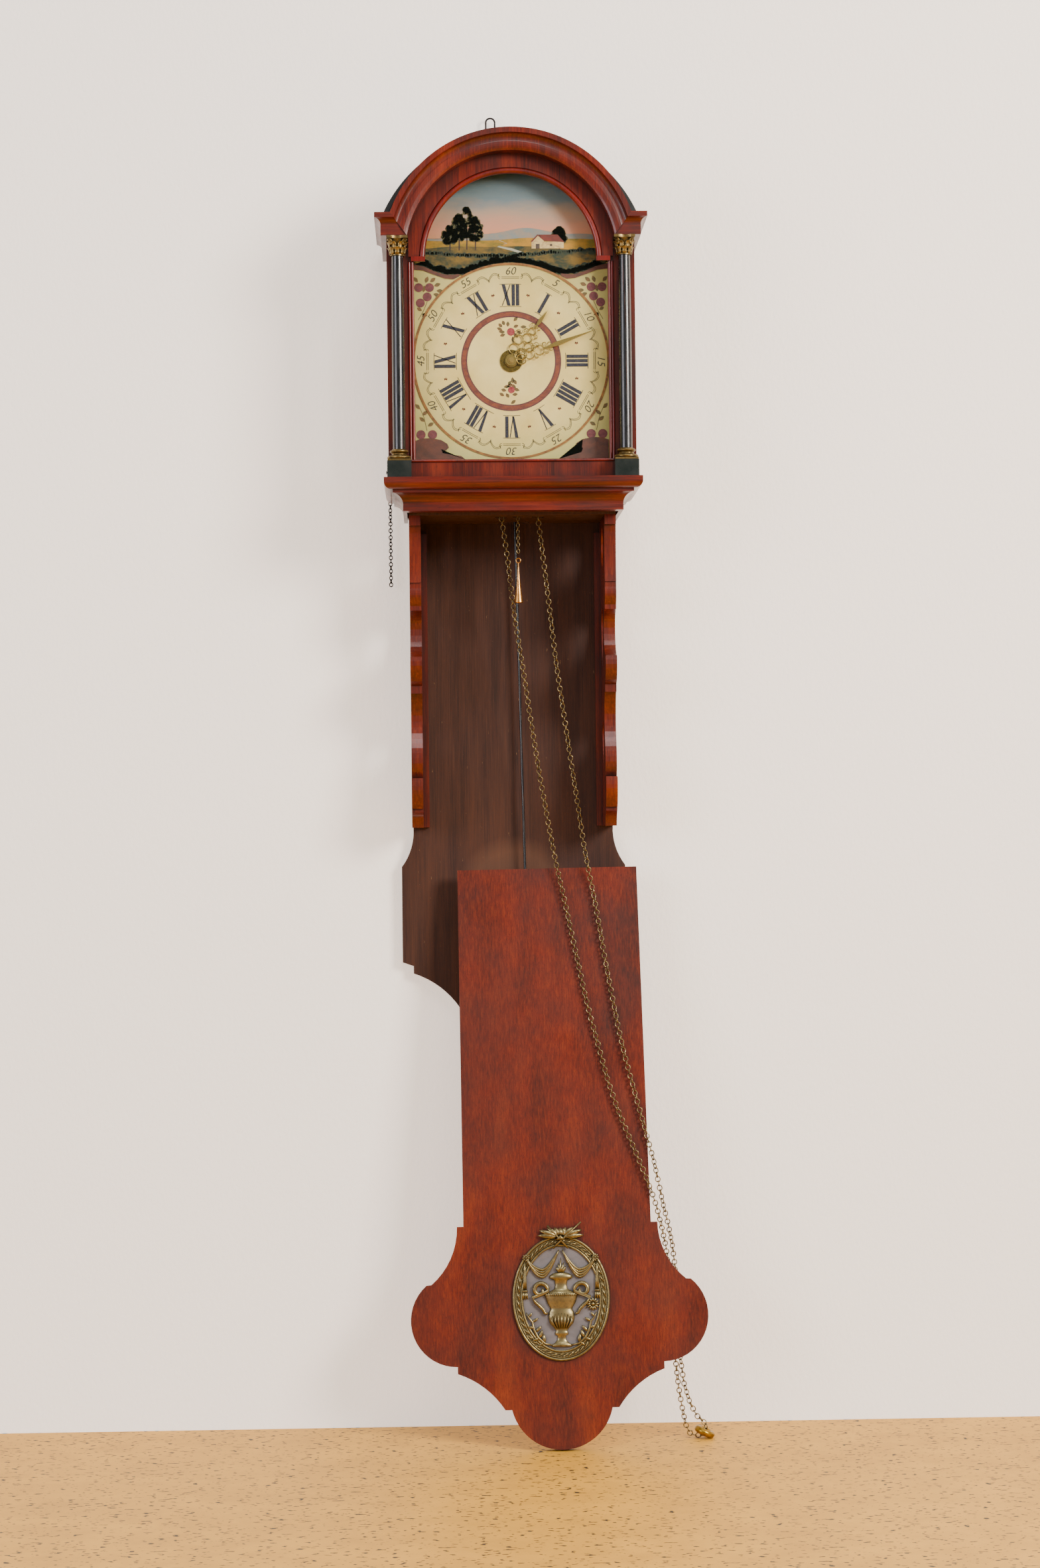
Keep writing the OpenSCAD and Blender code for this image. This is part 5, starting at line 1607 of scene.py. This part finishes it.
@dataclass
class Hands:
    """The pierced brass hands: rings and curls from the hub outward, then a slim leaf."""

    thick: float = 1.2
    wire: float = 0.85
    flat: float = 0.7

    HOUR: ClassVar[HandPlan] = HandPlan(
        "hour_hand", Body.HOURS, 36.5, 153.2,
        ((5.6, 15.0, 7.0), (-5.6, 15.0, 7.0), (8.4, 28.0, 6.0), (-8.4, 28.0, 6.0), (0.0, 36.5, 6.0),
         (0.0, 47.6, 4.6)),
        ((14.0, 36.0, 3.0), (7.0, 43.5, 2.6), (4.4, 54.5, 2.2)),
        (8.5, 6.2), ((1.4, 51.0), (1.1, 56.0), (2.5, 62.0), (1.9, 68.0), (0.15, 82.0)),
    )  # fmt: skip
    MINUTE: ClassVar[HandPlan] = HandPlan(
        "minute_hand", Body.MINUTES, 70.1, 155.4,
        ((3.0, 13.0, 6.4), (-3.0, 13.0, 6.4), (0.0, 25.5, 6.8), (0.0, 39.2, 6.2)),
        ((6.2, 33.0, 2.4), (4.8, 47.6, 2.6), (3.6, 54.0, 2.0)),
        (7.0, 3.4), ((1.8, 44.5), (1.4, 52.0), (3.0, 62.0), (2.4, 74.0), (0.15, 119.4)),
    )  # fmt: skip

    def hand(self, plan: HandPlan) -> bpy.types.Object:
        """Makes one hand in place of its node.

        Args:
            plan: Its measures.

        Returns:
            The hand.
        """
        middle = plan.front - self.thick / 2

        def openwork(work: bmesh.types.BMesh) -> None:
            """Adds the rings and curls as flat bars."""
            for x, z, r in plan.rings:
                around = turned(arc((x, z), r, 0, 345, 23), plan.turn)
                bead(work, at_depth(around, middle), self.wire, self.flat, closed=True, sides=6)
            for x, z, r in plan.curls:
                for side in (-1, 1):
                    sweep = [(p[0] * side, p[1]) for p in arc((x, z), r, -90, 180, 12)]
                    size = [self.wire * (0.95 - 0.045 * i) for i in range(13)]
                    path = at_depth(turned(sweep, plan.turn), middle)
                    bead(work, path, size, self.flat, sides=6)

        lace = smooth_cast(plan.node + "_openwork", openwork)
        outline = [*plan.blade, *[(-x, z) for x, z in reversed(plan.blade[:-1])]]
        plate = cut_plate(plan.node + "_blade", [turned(outline, plan.turn)], plan.front, self.thick)
        hub = [arc((0, 0), plan.hub[0], 0, 352.5, 47), arc((0, 0), plan.hub[1], 0, 345, 23)]
        boss = cut_plate(plan.node + "_hub", hub, plan.front, self.thick)
        join(plan.node + "_pierced", lace, plate, boss)
        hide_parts(plan.node)
        return lace

    def build(self) -> None:
        """Makes both hands."""
        brass = AgedBrass("cut_brass_hands", "#B09A58", "#6E5C28", 0.32, 4.0, hollows=False).build()
        for plan in (self.HOUR, self.MINUTE):
            finish_piece(self.hand(plan), brass, plan.body)


@dataclass
class Ornament:
    """The pressed brass oval on the tail front: twisted border, urn, drapes, tassels and leaves.

    Its parts are drawn from the oval's middle, and their depths are counted from the band's face.
    """

    foot_mm: Place = (52.5, 166.02, -1408.81)
    lean_deg: float = 9.0
    middle_up: float = 193.0
    half_w: float = 63.5
    half_h: float = 80.5
    rim: float = 14.0
    level: float = 2.2
    twists: int = 48
    urn_sides: int = 28
    urn_flat: float = 0.28

    URN: ClassVar[tuple[Point, ...]] = (
        (0, -62), (13.5, -62), (13.8, -59.5), (9, -57), (5.6, -53), (5.4, -48), (8.6, -46.5), (8.6, -43.5),
        (7, -42), (10, -38), (15.5, -32), (17.2, -25), (16.6, -18), (14.2, -14.5), (14.5, -12.5), (18.5, -6),
        (21, 1.5), (21.6, 4.5), (20, 7.5), (14, 9), (8.6, 12), (7.4, 17), (8.4, 22.5), (13, 24.5), (15.2, 26),
        (15, 28.5), (11, 31.5), (5, 33.5), (0, 34),
    )  # fmt: skip
    FLAMES: ClassVar[tuple[Place, ...]] = (
        (0, 52, 0.8), (-3.2, 45, -1.4), (3.4, 46, 1.6), (-5.8, 40, -1.0), (6.0, 41, 1.2),
    )  # fmt: skip
    HANDLE_TAIL: ClassVar[tuple[Point, ...]] = (
        (37.5, 1.0), (33.5, -5.0), (28.5, -9.5), (24.0, -14.0), (21.5, -19.0), (18.0, -20.0),
    )  # fmt: skip
    BRANCH: ClassVar[tuple[Point, ...]] = (
        (12, -60), (22, -58), (31, -50), (36, -40), (38, -30), (43, -24), (46, -18),
    )  # fmt: skip
    BRANCH_R: ClassVar[tuple[float, ...]] = (1.0, 1.6, 1.9, 1.7, 1.4, 1.1, 0.6)
    SPRIGS: ClassVar[tuple[tuple[float, ...], ...]] = (
        (22, -57, 2, 12, 2.6), (29, -51, -4, 11, 2.6), (29, -51, 10, -3, 2.3), (34, -43, -8, 8, 2.4),
        (36, -38, 8, 2, 2.2), (38, -30, -8, 5, 2.1), (24, -56, 6, -5, 1.9), (43, -24, -5, 6, 1.8),
    )  # fmt: skip
    CREST: ClassVar[tuple[Place, ...]] = (
        (-84, 30, 3.4), (-66, 30, 3.6), (-46, 24, 3.6), (-24, 19, 3.6), (0, 17, 3.8), (24, 19, 3.6),
        (46, 25, 3.6), (66, 31, 3.6), (84, 31, 3.4),
    )  # fmt: skip

    def oval(self, inset: float, count: int = 96) -> list[Point]:
        """Points of an ellipse inside the border's edge.

        Args:
            inset: Distance from the outer edge.
            count: Number of points.

        Returns:
            The points.
        """
        a, b = self.half_w - inset, self.half_h - inset
        steps = [2 * math.pi * i / count for i in range(count)]
        return [(a * math.cos(t), b * math.sin(t)) for t in steps]

    def bar(
        self,
        work: bmesh.types.BMesh,
        path: Iterable[Place],
        radii: float | Sequence[float],
        flat: float = 1.0,
        sides: int = 6,
    ) -> None:
        """Adds a bar over the band.

        Args:
            work: Mesh that gets the bar.
            path: Points across, up and out from the band's face.
            radii: Radius, or one radius for each point.
            flat: Share of the radius that is left in depth.
            sides: Number of sides.
        """
        bead(work, [(x, self.level + out, z) for x, z, out in path], radii, flat, sides=sides)

    def rosette(
        self, work: bmesh.types.BMesh, at: Place, petals: int, reach: Place, radii: Place
    ) -> None:
        """Adds a rosette of petals.

        Args:
            work: Mesh that gets them.
            at: Middle across, up and out.
            petals: Number of petals.
            reach: Distances of each petal's three points from the middle.
            radii: Radius at each point.
        """
        for k in range(petals):
            a = 2 * math.pi * k / petals
            petal = [(at[0] + r * math.cos(a), at[1] + r * math.sin(a), at[2]) for r in reach]
            self.bar(work, petal, radii)

    def border(self, work: bmesh.types.BMesh) -> None:
        """Adds the rims and the twisted band between them."""
        for inset, r in ((1.8, 1.8), (4.6, 0.9), (self.rim - 1.5, 1.7), (self.rim - 4.2, 0.8)):
            bead(work, at_depth(self.oval(inset), self.level), r, closed=True)
        count = self.twists * 3
        outer, inner = self.oval(5.0, count), self.oval(self.rim - 4.5, count)
        for i in range(0, count, 3):
            (x0, z0), (x1, z1) = outer[i], inner[(i + 4) % count]
            twist = [(x0 + (x1 - x0) * t, z0 + (z1 - z0) * t, 0.4) for t in (0.0, 0.5, 1.0)]
            self.bar(work, twist, [0.6, 1.25, 0.6])

    def urn(self, work: bmesh.types.BMesh) -> None:
        """Adds the urn as a body turned about its axis and pressed flat, with its ribs and flames."""
        count = self.urn_sides
        angles = [2 * math.pi * k / count for k in range(count)]
        rings = []
        for r, z in self.URN:
            points = [
                (r * math.cos(t), -self.level - r * self.urn_flat * math.sin(t), z) for t in angles
            ]
            rings.append([work.verts.new(Vector(p) * MM) for p in points])
        for a_ring, b_ring in zip(rings, rings[1:]):
            for k in range(count):
                n = (k + 1) % count
                work.faces.new((a_ring[k], a_ring[n], b_ring[n], b_ring[k]))
        bmesh.ops.remove_doubles(work, verts=rings[0] + rings[-1], dist=TINY)
        for k in range(-3, 4):
            x = k * 4.4
            high = 7.0 * math.cos(k * 0.38)
            rib = [(x * 0.55, -39, 4.0), (x, -29, 4.6), (x * 0.9, -26 + high, 4.2)]
            self.bar(work, rib, [0.7, 1.7, 0.7])
        for k in range(-8, 9):
            x = k * 2.45
            out = 6.0 * math.sqrt(max(0.0, 1 - (x / 21.5) ** 2))
            self.bar(work, [(x - 0.6, 2.5, out), (x + 0.6, 6.8, out)], 0.9)
        for side, top, lean in self.FLAMES:
            flame = [(side * 0.4, 33, 1.5), (side - lean, 38, 2.0), (side + lean * 0.5, top, 1.6)]
            self.bar(work, flame, [1.2, 2.1, 0.3])

    def handles(self, work: bmesh.types.BMesh) -> None:
        """Adds the two scrolled handles, the leaves under them and the rosette at the right."""
        for side in (-1, 1):
            path = []
            for i in range(22):
                t = i / 21
                a = math.radians(-210 + 400 * t)
                r = 3.0 + 7.5 * t
                path.append((side * (27.5 + r * math.cos(a)), 10.5 + r * math.sin(a), 2.2))
            path += [(side * x, z, 2.2) for x, z in self.HANDLE_TAIL]
            sizes = [1.3 + 1.7 * math.sin(math.pi * i / len(path)) ** 0.6 for i in range(len(path))]
            self.bar(work, path, sizes, sides=8)
            self.bar(work, [(side * x, z, 1.2) for x, z in self.BRANCH], self.BRANCH_R, sides=8)
            for x, z, dx, dz, r in self.SPRIGS:
                sprig = [(side * (x + dx * t), z + dz * t, 1.4) for t in (0.0, 0.35, 0.7, 1.0)]
                self.bar(work, sprig, [0.6, r, r * 0.8, 0.2], 0.6, sides=8)
        self.rosette(work, (41, -8, 1.4), 12, (3.0, 6.0, 9.6), (1.6, 1.5, 0.2))
        self.bar(work, [(41, -10.5, 2.0), (41, -8, 2.6), (41, -5.5, 2.0)], [1.6, 3.2, 1.6], sides=8)

    def drapes(self, work: bmesh.types.BMesh) -> None:
        """Adds the drapes from the top, their rosettes and the hanging tassels."""
        swell = [0.8 + 1.1 * math.sin(math.pi * i / 14) for i in range(15)]
        for side in (-1, 1):
            for k in range(4):
                low = 27.0 + 3.2 * k
                fold = []
                for i in range(15):
                    t = i / 14
                    inner = (62.0 - low) * abs(1 - 2 * t) ** 1.5
                    outer = (52.0 - low) * (2 * t - 1) ** 2
                    z = low + (inner if t < 0.5 else outer)
                    fold.append((side * (2.0 + 43.0 * t), z, 1.2 + 0.5 * (k % 2)))
                self.bar(work, fold, swell)
            self.rosette(work, (side * 45, 52, 1.6), 8, (1.0, 3.2, 5.2), (0.8, 1.5, 0.5))
            button = [(side * 45, 50.4, 2.4), (side * 45, 52, 3.0), (side * 45, 53.6, 2.4)]
            self.bar(work, button, [0.9, 1.8, 0.9], sides=8)
            for k in (-1, 0, 1):
                cloth = [(side * (47 + 1.8 * k * t), 47 - 36 * t, 1.4) for t in (0.0, 0.3, 0.7, 1.0)]
                self.bar(work, cloth, [0.7, 1.1, 1.2, 0.9])
            for k in (-1, 0, 1):
                x = 47 + 1.8 * k
                fringe = [(side * (x + 1.2 * k * t), 8 - 9 * t, 1.4) for t in (0.0, 0.5, 1.0)]
                self.bar(work, fringe, [1.5, 1.5, 0.8])
            self.bar(work, [(side * 43.5, 9.5, 2), (side * 50.5, 9.5, 2)], 1.4)

    def crest(self, work: bmesh.types.BMesh) -> None:
        """Adds the crest of leaves and crossed staffs over the border."""
        for angle, length, r in self.CREST:
            x, up = turned([(0.0, length)], angle)[0]
            blade = [
                (x * t, 78.5 + up * t * 0.72, 2.0 + 1.6 * math.sin(math.pi * t))
                for t in (0.1, 0.35, 0.65, 0.85, 1.0)
            ]
            self.bar(work, blade, [1.2, r, r * 0.95, r * 0.6, 0.3], 0.6, sides=8)
            self.bar(work, [(a, b, c + 1.7) for a, b, c in blade[:4]], [0.4, 0.8, 0.7, 0.3])
        for side, reach, top in ((1, 27.0, 97.5), (-1, 17.0, 93.5)):
            staff = [(-side * 10.0, 64.0, 3.8), (side * reach, top, 4.4)]
            self.bar(work, staff, [1.5, 1.2], sides=8)
        self.bar(work, [(-5.0, 75.0, 4.4), (0.0, 78.0, 5.2), (5.0, 75.0, 4.4)], [1.4, 3.4, 1.4], sides=8)

    def to_tail(self, piece: bpy.types.Object) -> None:
        """Moves a piece from the ornament's own frame to the leaning front."""
        foot = Vector((self.foot_mm[0], -self.foot_mm[1], self.foot_mm[2])) * MM
        lean = Matrix.Rotation(math.radians(-self.lean_deg), 4, "X")
        raised = Matrix.Translation((0.0, 0.0, self.middle_up * MM))
        piece.matrix_world = Matrix.Translation(foot) @ lean @ raised
        settle(piece, piece.name)

    def build(self) -> None:
        """Makes the ornament and the pane behind its openings, painted an opaque pale grey."""

        def raised(work: bmesh.types.BMesh) -> None:
            """Adds all the raised parts."""
            for part in (self.border, self.urn, self.handles, self.drapes, self.crest):
                part(work)

        cast = smooth_cast("ornament_relief", raised)
        rims = [self.oval(0.6), self.oval(self.rim)]
        plate = cut_plate("ornament_band", rims, self.level, self.level - 0.9, 0.3)
        join("pressed_ornament", cast, plate)
        self.to_tail(cast)
        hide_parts("window_ornament")
        brass = AgedBrass("pressed_ornament_brass", "#94875F", "#5C4E30", 0.3, 6.0)
        finish_piece(cast, brass.build(), Body.COVER)
        pane = cut_plate("ornament_pane", [self.oval(self.rim - 3.0)], 0.95, 0.7, 0.1)
        self.to_tail(pane)
        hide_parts("tail_window")
        # The pane is opaque grey paint in the tone that the glass shows, in place of clear glass.
        grey_pane_paint = OilPaint("pane_painted_grey", "#6E6A6C", "#585454", 18.0, 0.18, 0.6)
        finish_piece(pane, grey_pane_paint.build(), Body.COVER)


@dataclass
class BarrelRoof:
    """The dark barrel roof, a little flatter than the moulding, with its end board at the front."""

    half_w: float = 166.0
    foot_z: float = 183.5
    top_z: float = 293.5
    thick: float = 6.0
    back: float = 14.0
    front: float = 174.6
    board: float = 13.0
    board_gap: float = 0.3
    hood_r: float = 159.5
    hood_z: float = 128.0

    def outer_r(self) -> float:
        """Radius of the roof's back, from its width and rise."""
        rise = self.top_z - self.foot_z
        return (self.half_w**2 + rise**2) / (2 * rise)

    def crescent(self, inner: float, inner_z: float) -> list[Point]:
        """Outline between the roof's back and an inner circle, over the foot.

        Args:
            inner: Radius of the inner circle.
            inner_z: Height of its middle.

        Returns:
            The outline.
        """
        outer = self.outer_r()
        over = math.degrees(math.asin((self.foot_z - (self.top_z - outer)) / outer))
        under = math.degrees(math.asin((self.foot_z - inner_z) / inner))
        top = arc((0, self.top_z - outer), outer, over, 180 - over, 72)
        return [*top, *arc((0, inner_z), inner, 180 - under, under, 72)]

    def build(self) -> None:
        """Makes the barrel and its end board as one piece."""
        outer = self.outer_r()
        barrel = self.crescent(outer - self.thick, self.top_z - outer)
        shell = cut_plate("roof_shell", [barrel], self.front, self.front - self.back, 0.5)
        end = self.crescent(self.hood_r, self.hood_z)
        board = cut_plate("roof_end", [end], self.front - self.board_gap, self.board, 0.4)
        join("barrel_roof", shell, board)
        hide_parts("hood_roof")
        black = EbonisedWood("black_roof", "#0B100E", "#241A14", 0.4, 0.7)
        finish_piece(shell, black.build(), Body.HOOD)


@dataclass
class WireLoop:
    """The wire loop that stands over the roof, from the backboard's top edge."""

    middle_x: float = -20.9
    depth: float = 6.5
    foot_z: float = 273.0
    top_z: float = 350.0
    half_w: float = 6.0
    wire_r: float = 1.2

    def build(self) -> None:
        """Bends the wire."""
        spring_z = self.top_z - self.half_w - self.wire_r
        left, right = self.middle_x - self.half_w, self.middle_x + self.half_w
        bend = arc((self.middle_x, spring_z), self.half_w, 180, 0, 24)
        path = at_depth([(left, self.foot_z), *bend, (right, self.foot_z)], self.depth)
        loop = smooth_cast("wire_loop", lambda work: bead(work, path, self.wire_r, sides=16))
        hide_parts("hanging_loop")
        finish_piece(loop, ForgedIron("loop_iron").build(), Body.CASE)


@dataclass
class RoundedBoard:
    """The backboard with a round top that stays behind the hood, and no corners under the seat."""

    top_r: float = 164.0
    top_z: float = 128.0
    step_z: float = -198.0
    narrow_hw: float = 136.0
    hidden_z: float = -150.0
    cut_deg: tuple[int, ...] = tuple(range(12, 85, 6))

    def build(self, board: bpy.types.Object) -> None:
        """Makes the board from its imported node.

        Args:
            board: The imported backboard.
        """

        def rounded(work: bmesh.types.BMesh) -> None:
            """Lifts the corners under the seat and planes the top's corners round."""
            work.from_mesh(board.data)
            for vert in work.verts:
                if abs(vert.co.x) > self.narrow_hw * MM and abs(vert.co.z - self.step_z * MM) < MM:
                    vert.co.z = self.hidden_z * MM
            for side in (-1, 1):
                for angle in self.cut_deg:
                    a = math.radians(angle)
                    way = Vector((side * math.cos(a), 0.0, math.sin(a)))
                    cut = bmesh.ops.bisect_plane(
                        work,
                        geom=work.verts[:] + work.edges[:] + work.faces[:],
                        plane_co=Vector((0.0, 0.0, self.top_z * MM)) + way * self.top_r * MM,
                        plane_no=way,
                        clear_outer=True,
                    )
                    edges = [item for item in cut["geom_cut"] if isinstance(item, bmesh.types.BMEdge)]
                    bmesh.ops.contextual_create(work, geom=edges)
            bmesh.ops.recalc_face_normals(work, faces=work.faces[:])

        piece = mesh_piece("rounded_backboard", rounded)
        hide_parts("backboard")
        finish_piece(piece, OiledOak("oiled_backboard").build(), Body.CASE)


@dataclass
class CapitalLeaves:
    """Acanthus leaves that curl out from the gilt capitals."""

    column_x: float = 146.0
    depth: float = 186.5
    foot_z: float = 130.0
    leaves: int = 8
    skin: float = 0.7

    # Rows of leaves as height of foot, height of bend and distance from the axis.
    ROWS: ClassVar[tuple[Place, ...]] = ((1.5, 10.5, 9.6), (8.0, 17.5, 10.6))
    CORNER: ClassVar[Place] = (13.0, 21.0, 12.2)
    # A leaf's outline as share of the height, bend outward and half width.
    OUTLINE: ClassVar[tuple[Place, ...]] = (
        (0.0, 0.0, 2.4), (0.3, 0.2, 3.3), (0.5, 0.5, 2.6), (0.7, 1.0, 3.4), (0.9, 2.0, 2.5), (1.0, 3.4, 2.4),
        (0.92, 4.6, 1.2),
    )  # fmt: skip
    # Its section as share of the half width and rise of the midrib.
    SECTION: ClassVar[tuple[Point, ...]] = ((-1.0, 0.0), (-0.5, 0.4), (0.0, 0.72), (0.5, 0.4), (1.0, 0.0))

    def build(self) -> None:
        """Makes the leaves of both capitals, one piece each."""
        gilt = AgedBrass("leaf_gilding", "#9A8452", "#4A381A", 0.34, 4.0).build()
        for name, x in (("left", -self.column_x), ("right", self.column_x)):
            stem = Vector((x, -self.depth, self.foot_z))

            def foliage(work: bmesh.types.BMesh, stem: Vector = stem) -> None:
                """Adds two rows of leaves and four corner scrolls."""
                for row, plan in enumerate(self.ROWS):
                    for k in range(self.leaves):
                        self.leaf(work, stem, 2 * math.pi * (k + 0.5 * row) / self.leaves, plan)
                for k in range(4):
                    self.leaf(work, stem, math.pi / 4 + math.pi / 2 * k, self.CORNER)

            piece = smooth_cast("acanthus_" + name, foliage)
            finish_piece(piece, gilt, Body.HOOD)

    def leaf(self, work: bmesh.types.BMesh, stem: Vector, angle: float, plan: Place) -> None:
        """Adds one lobed leaf that rises and curls over.

        Args:
            work: Mesh that gets the leaf.
            stem: Middle of the capital's foot.
            angle: Its place round the capital, in radians.
            plan: Height of its foot, height of its bend and distance from the axis.
        """
        low, high, r = plan
        out = Vector((math.cos(angle), -math.sin(angle), 0.0))
        around = Vector((-out.y, out.x, 0.0))
        grid = []
        for share, bend, half in self.OUTLINE:
            up = Vector((0.0, 0.0, low + (high - low) * share))
            grid.append(
                [
                    (stem + out * (r + bend + lift) + around * (half * side) + up) * MM
                    for side, lift in self.SECTION
                ]
            )
        skins, rims = [], []
        for thick in (0.0, self.skin):
            verts = [[work.verts.new(p - out * thick * MM) for p in line] for line in grid]
            skins.append(verts)
            left, right = [line[0] for line in reversed(verts)], [line[-1] for line in verts]
            edge = [verts[0], right, verts[-1][::-1], left]
            rims.append([v for part in edge for v in part[:-1]])
        for verts, way in zip(skins, (1, -1)):
            for a_line, b_line in zip(verts, verts[1:]):
                for k in range(len(a_line) - 1):
                    face = (a_line[k], a_line[k + 1], b_line[k + 1], b_line[k])
                    work.faces.new(face[::way])
        for k in range(len(rims[0])):
            n = (k + 1) % len(rims[0])
            work.faces.new((rims[0][k], rims[1][k], rims[1][n], rims[0][n]))


@dataclass
class Dressing:
    """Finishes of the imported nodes."""

    frame: dict[str, object]

    FINISHES: ClassVar[dict[object, str]] = {
        FrenchPolishedWood(
            "mahogany_bracket", "#2C0A04", "#5C1806", "#8A360C", roughness=0.34
        ): "bracket_left bracket_right guide_rails",
        OiledOak("dark_seat_wood", "#2A1B14", "#4A3226", "#5A4030"): "seat_board",
        ForgedIron(
            "forged_iron"
        ): "chain_nail cage_plates cage_posts pendulum_cock bell_stand dial_feet anchor hammer",
        AgedBrass("filed_brass", "#B59A58", "#8F7A44", 0.34, 12.0, hollows=False): (
            "front_bar middle_bar rear_bar great_wheel centre_wheel third_wheel escape_wheel "
            "minute_wheel hour_wheel strike_great_wheel pin_wheel warning_wheel fly"
        ),
        AgedBrass("cast_bell_brass", "#A8905A", "#7A6434", 0.3, 20.0, hollows=False): "bell",
        DialGround("cream_dial_ground"): "dial",
        AgedBrass("alarm_disc_brass", "#7A6830", "#3A3010", 0.4, 4.0): "alarm_disc",
        EbonisedWood("blacked_rod", "#141518", "#3A2C24"): "pendulum_rod",
        AgedBrass("bob_brass", "#A08A4C", "#6A562A", 0.38, 14.0, hollows=False): "pendulum_bob",
        FrenchPolishedWood("mahogany_upright"): "hood_front arch_moulding",
        FrenchPolishedWood(
            "mahogany_side", "#2C0503", "#680F06", "#84240C"
        ): "hood_side_left hood_side_right window_bead",
        FrenchPolishedWood("mahogany_across", along=Along.ACROSS): "base_moulding cornice",
        OldPane("drawn_pane"): "hood_glass side_glass",
        EbonisedWood("ebonised_column"): "columns",
        AgedBrass("oil_gilding", "#7E6A40", "#3E3018", 0.36, 5.0): "capitals column_bases",
        EbonisedWood("green_black_plinth", "#0A1410", "#2E1C12", 0.3, 0.68): "plinths",
        FrenchPolishedWood(
            "mahogany_tail_front", "#2A0A03", "#621C07", "#86360E", cloud_mm=120.0, roughness=0.4, coat=0.25
        ): "tail_front",
        AgedBrass("ring_brass", "#A8842A", "#6A5018", 0.3, 5.0, hollows=False): "ring_weight",
        AgedBrass("cone_brass", "#D09A58", "#8A5A2C", 0.24, 9.0, hollows=False): "cone_weight",
    }

    def build(self) -> None:
        """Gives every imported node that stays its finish."""
        nodes: dict[str, bpy.types.Object] = self.frame["nodes"]
        for finish, names in self.FINISHES.items():
            material = finish.build()
            for node in names.split():
                for place in nodes[node].material_slots:
                    place.material = material
        LOG.info("dressed the nodes with %d finishes", len(self.FINISHES))


def main() -> None:
    """Builds the scene round the loaded frame."""
    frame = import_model()
    room = Room()
    room.build_camera()
    Dressing(frame).build()
    Chains().build()
    Dial().build()
    Hands().build()
    RoundedBoard().build(frame["nodes"]["backboard"])
    BarrelRoof().build()
    WireLoop().build()
    CapitalLeaves().build()
    Ornament().build()
    room.build_stage()
    room.build_lights()


if __name__ == "__main__":
    logging.basicConfig(level=logging.INFO)
    main()
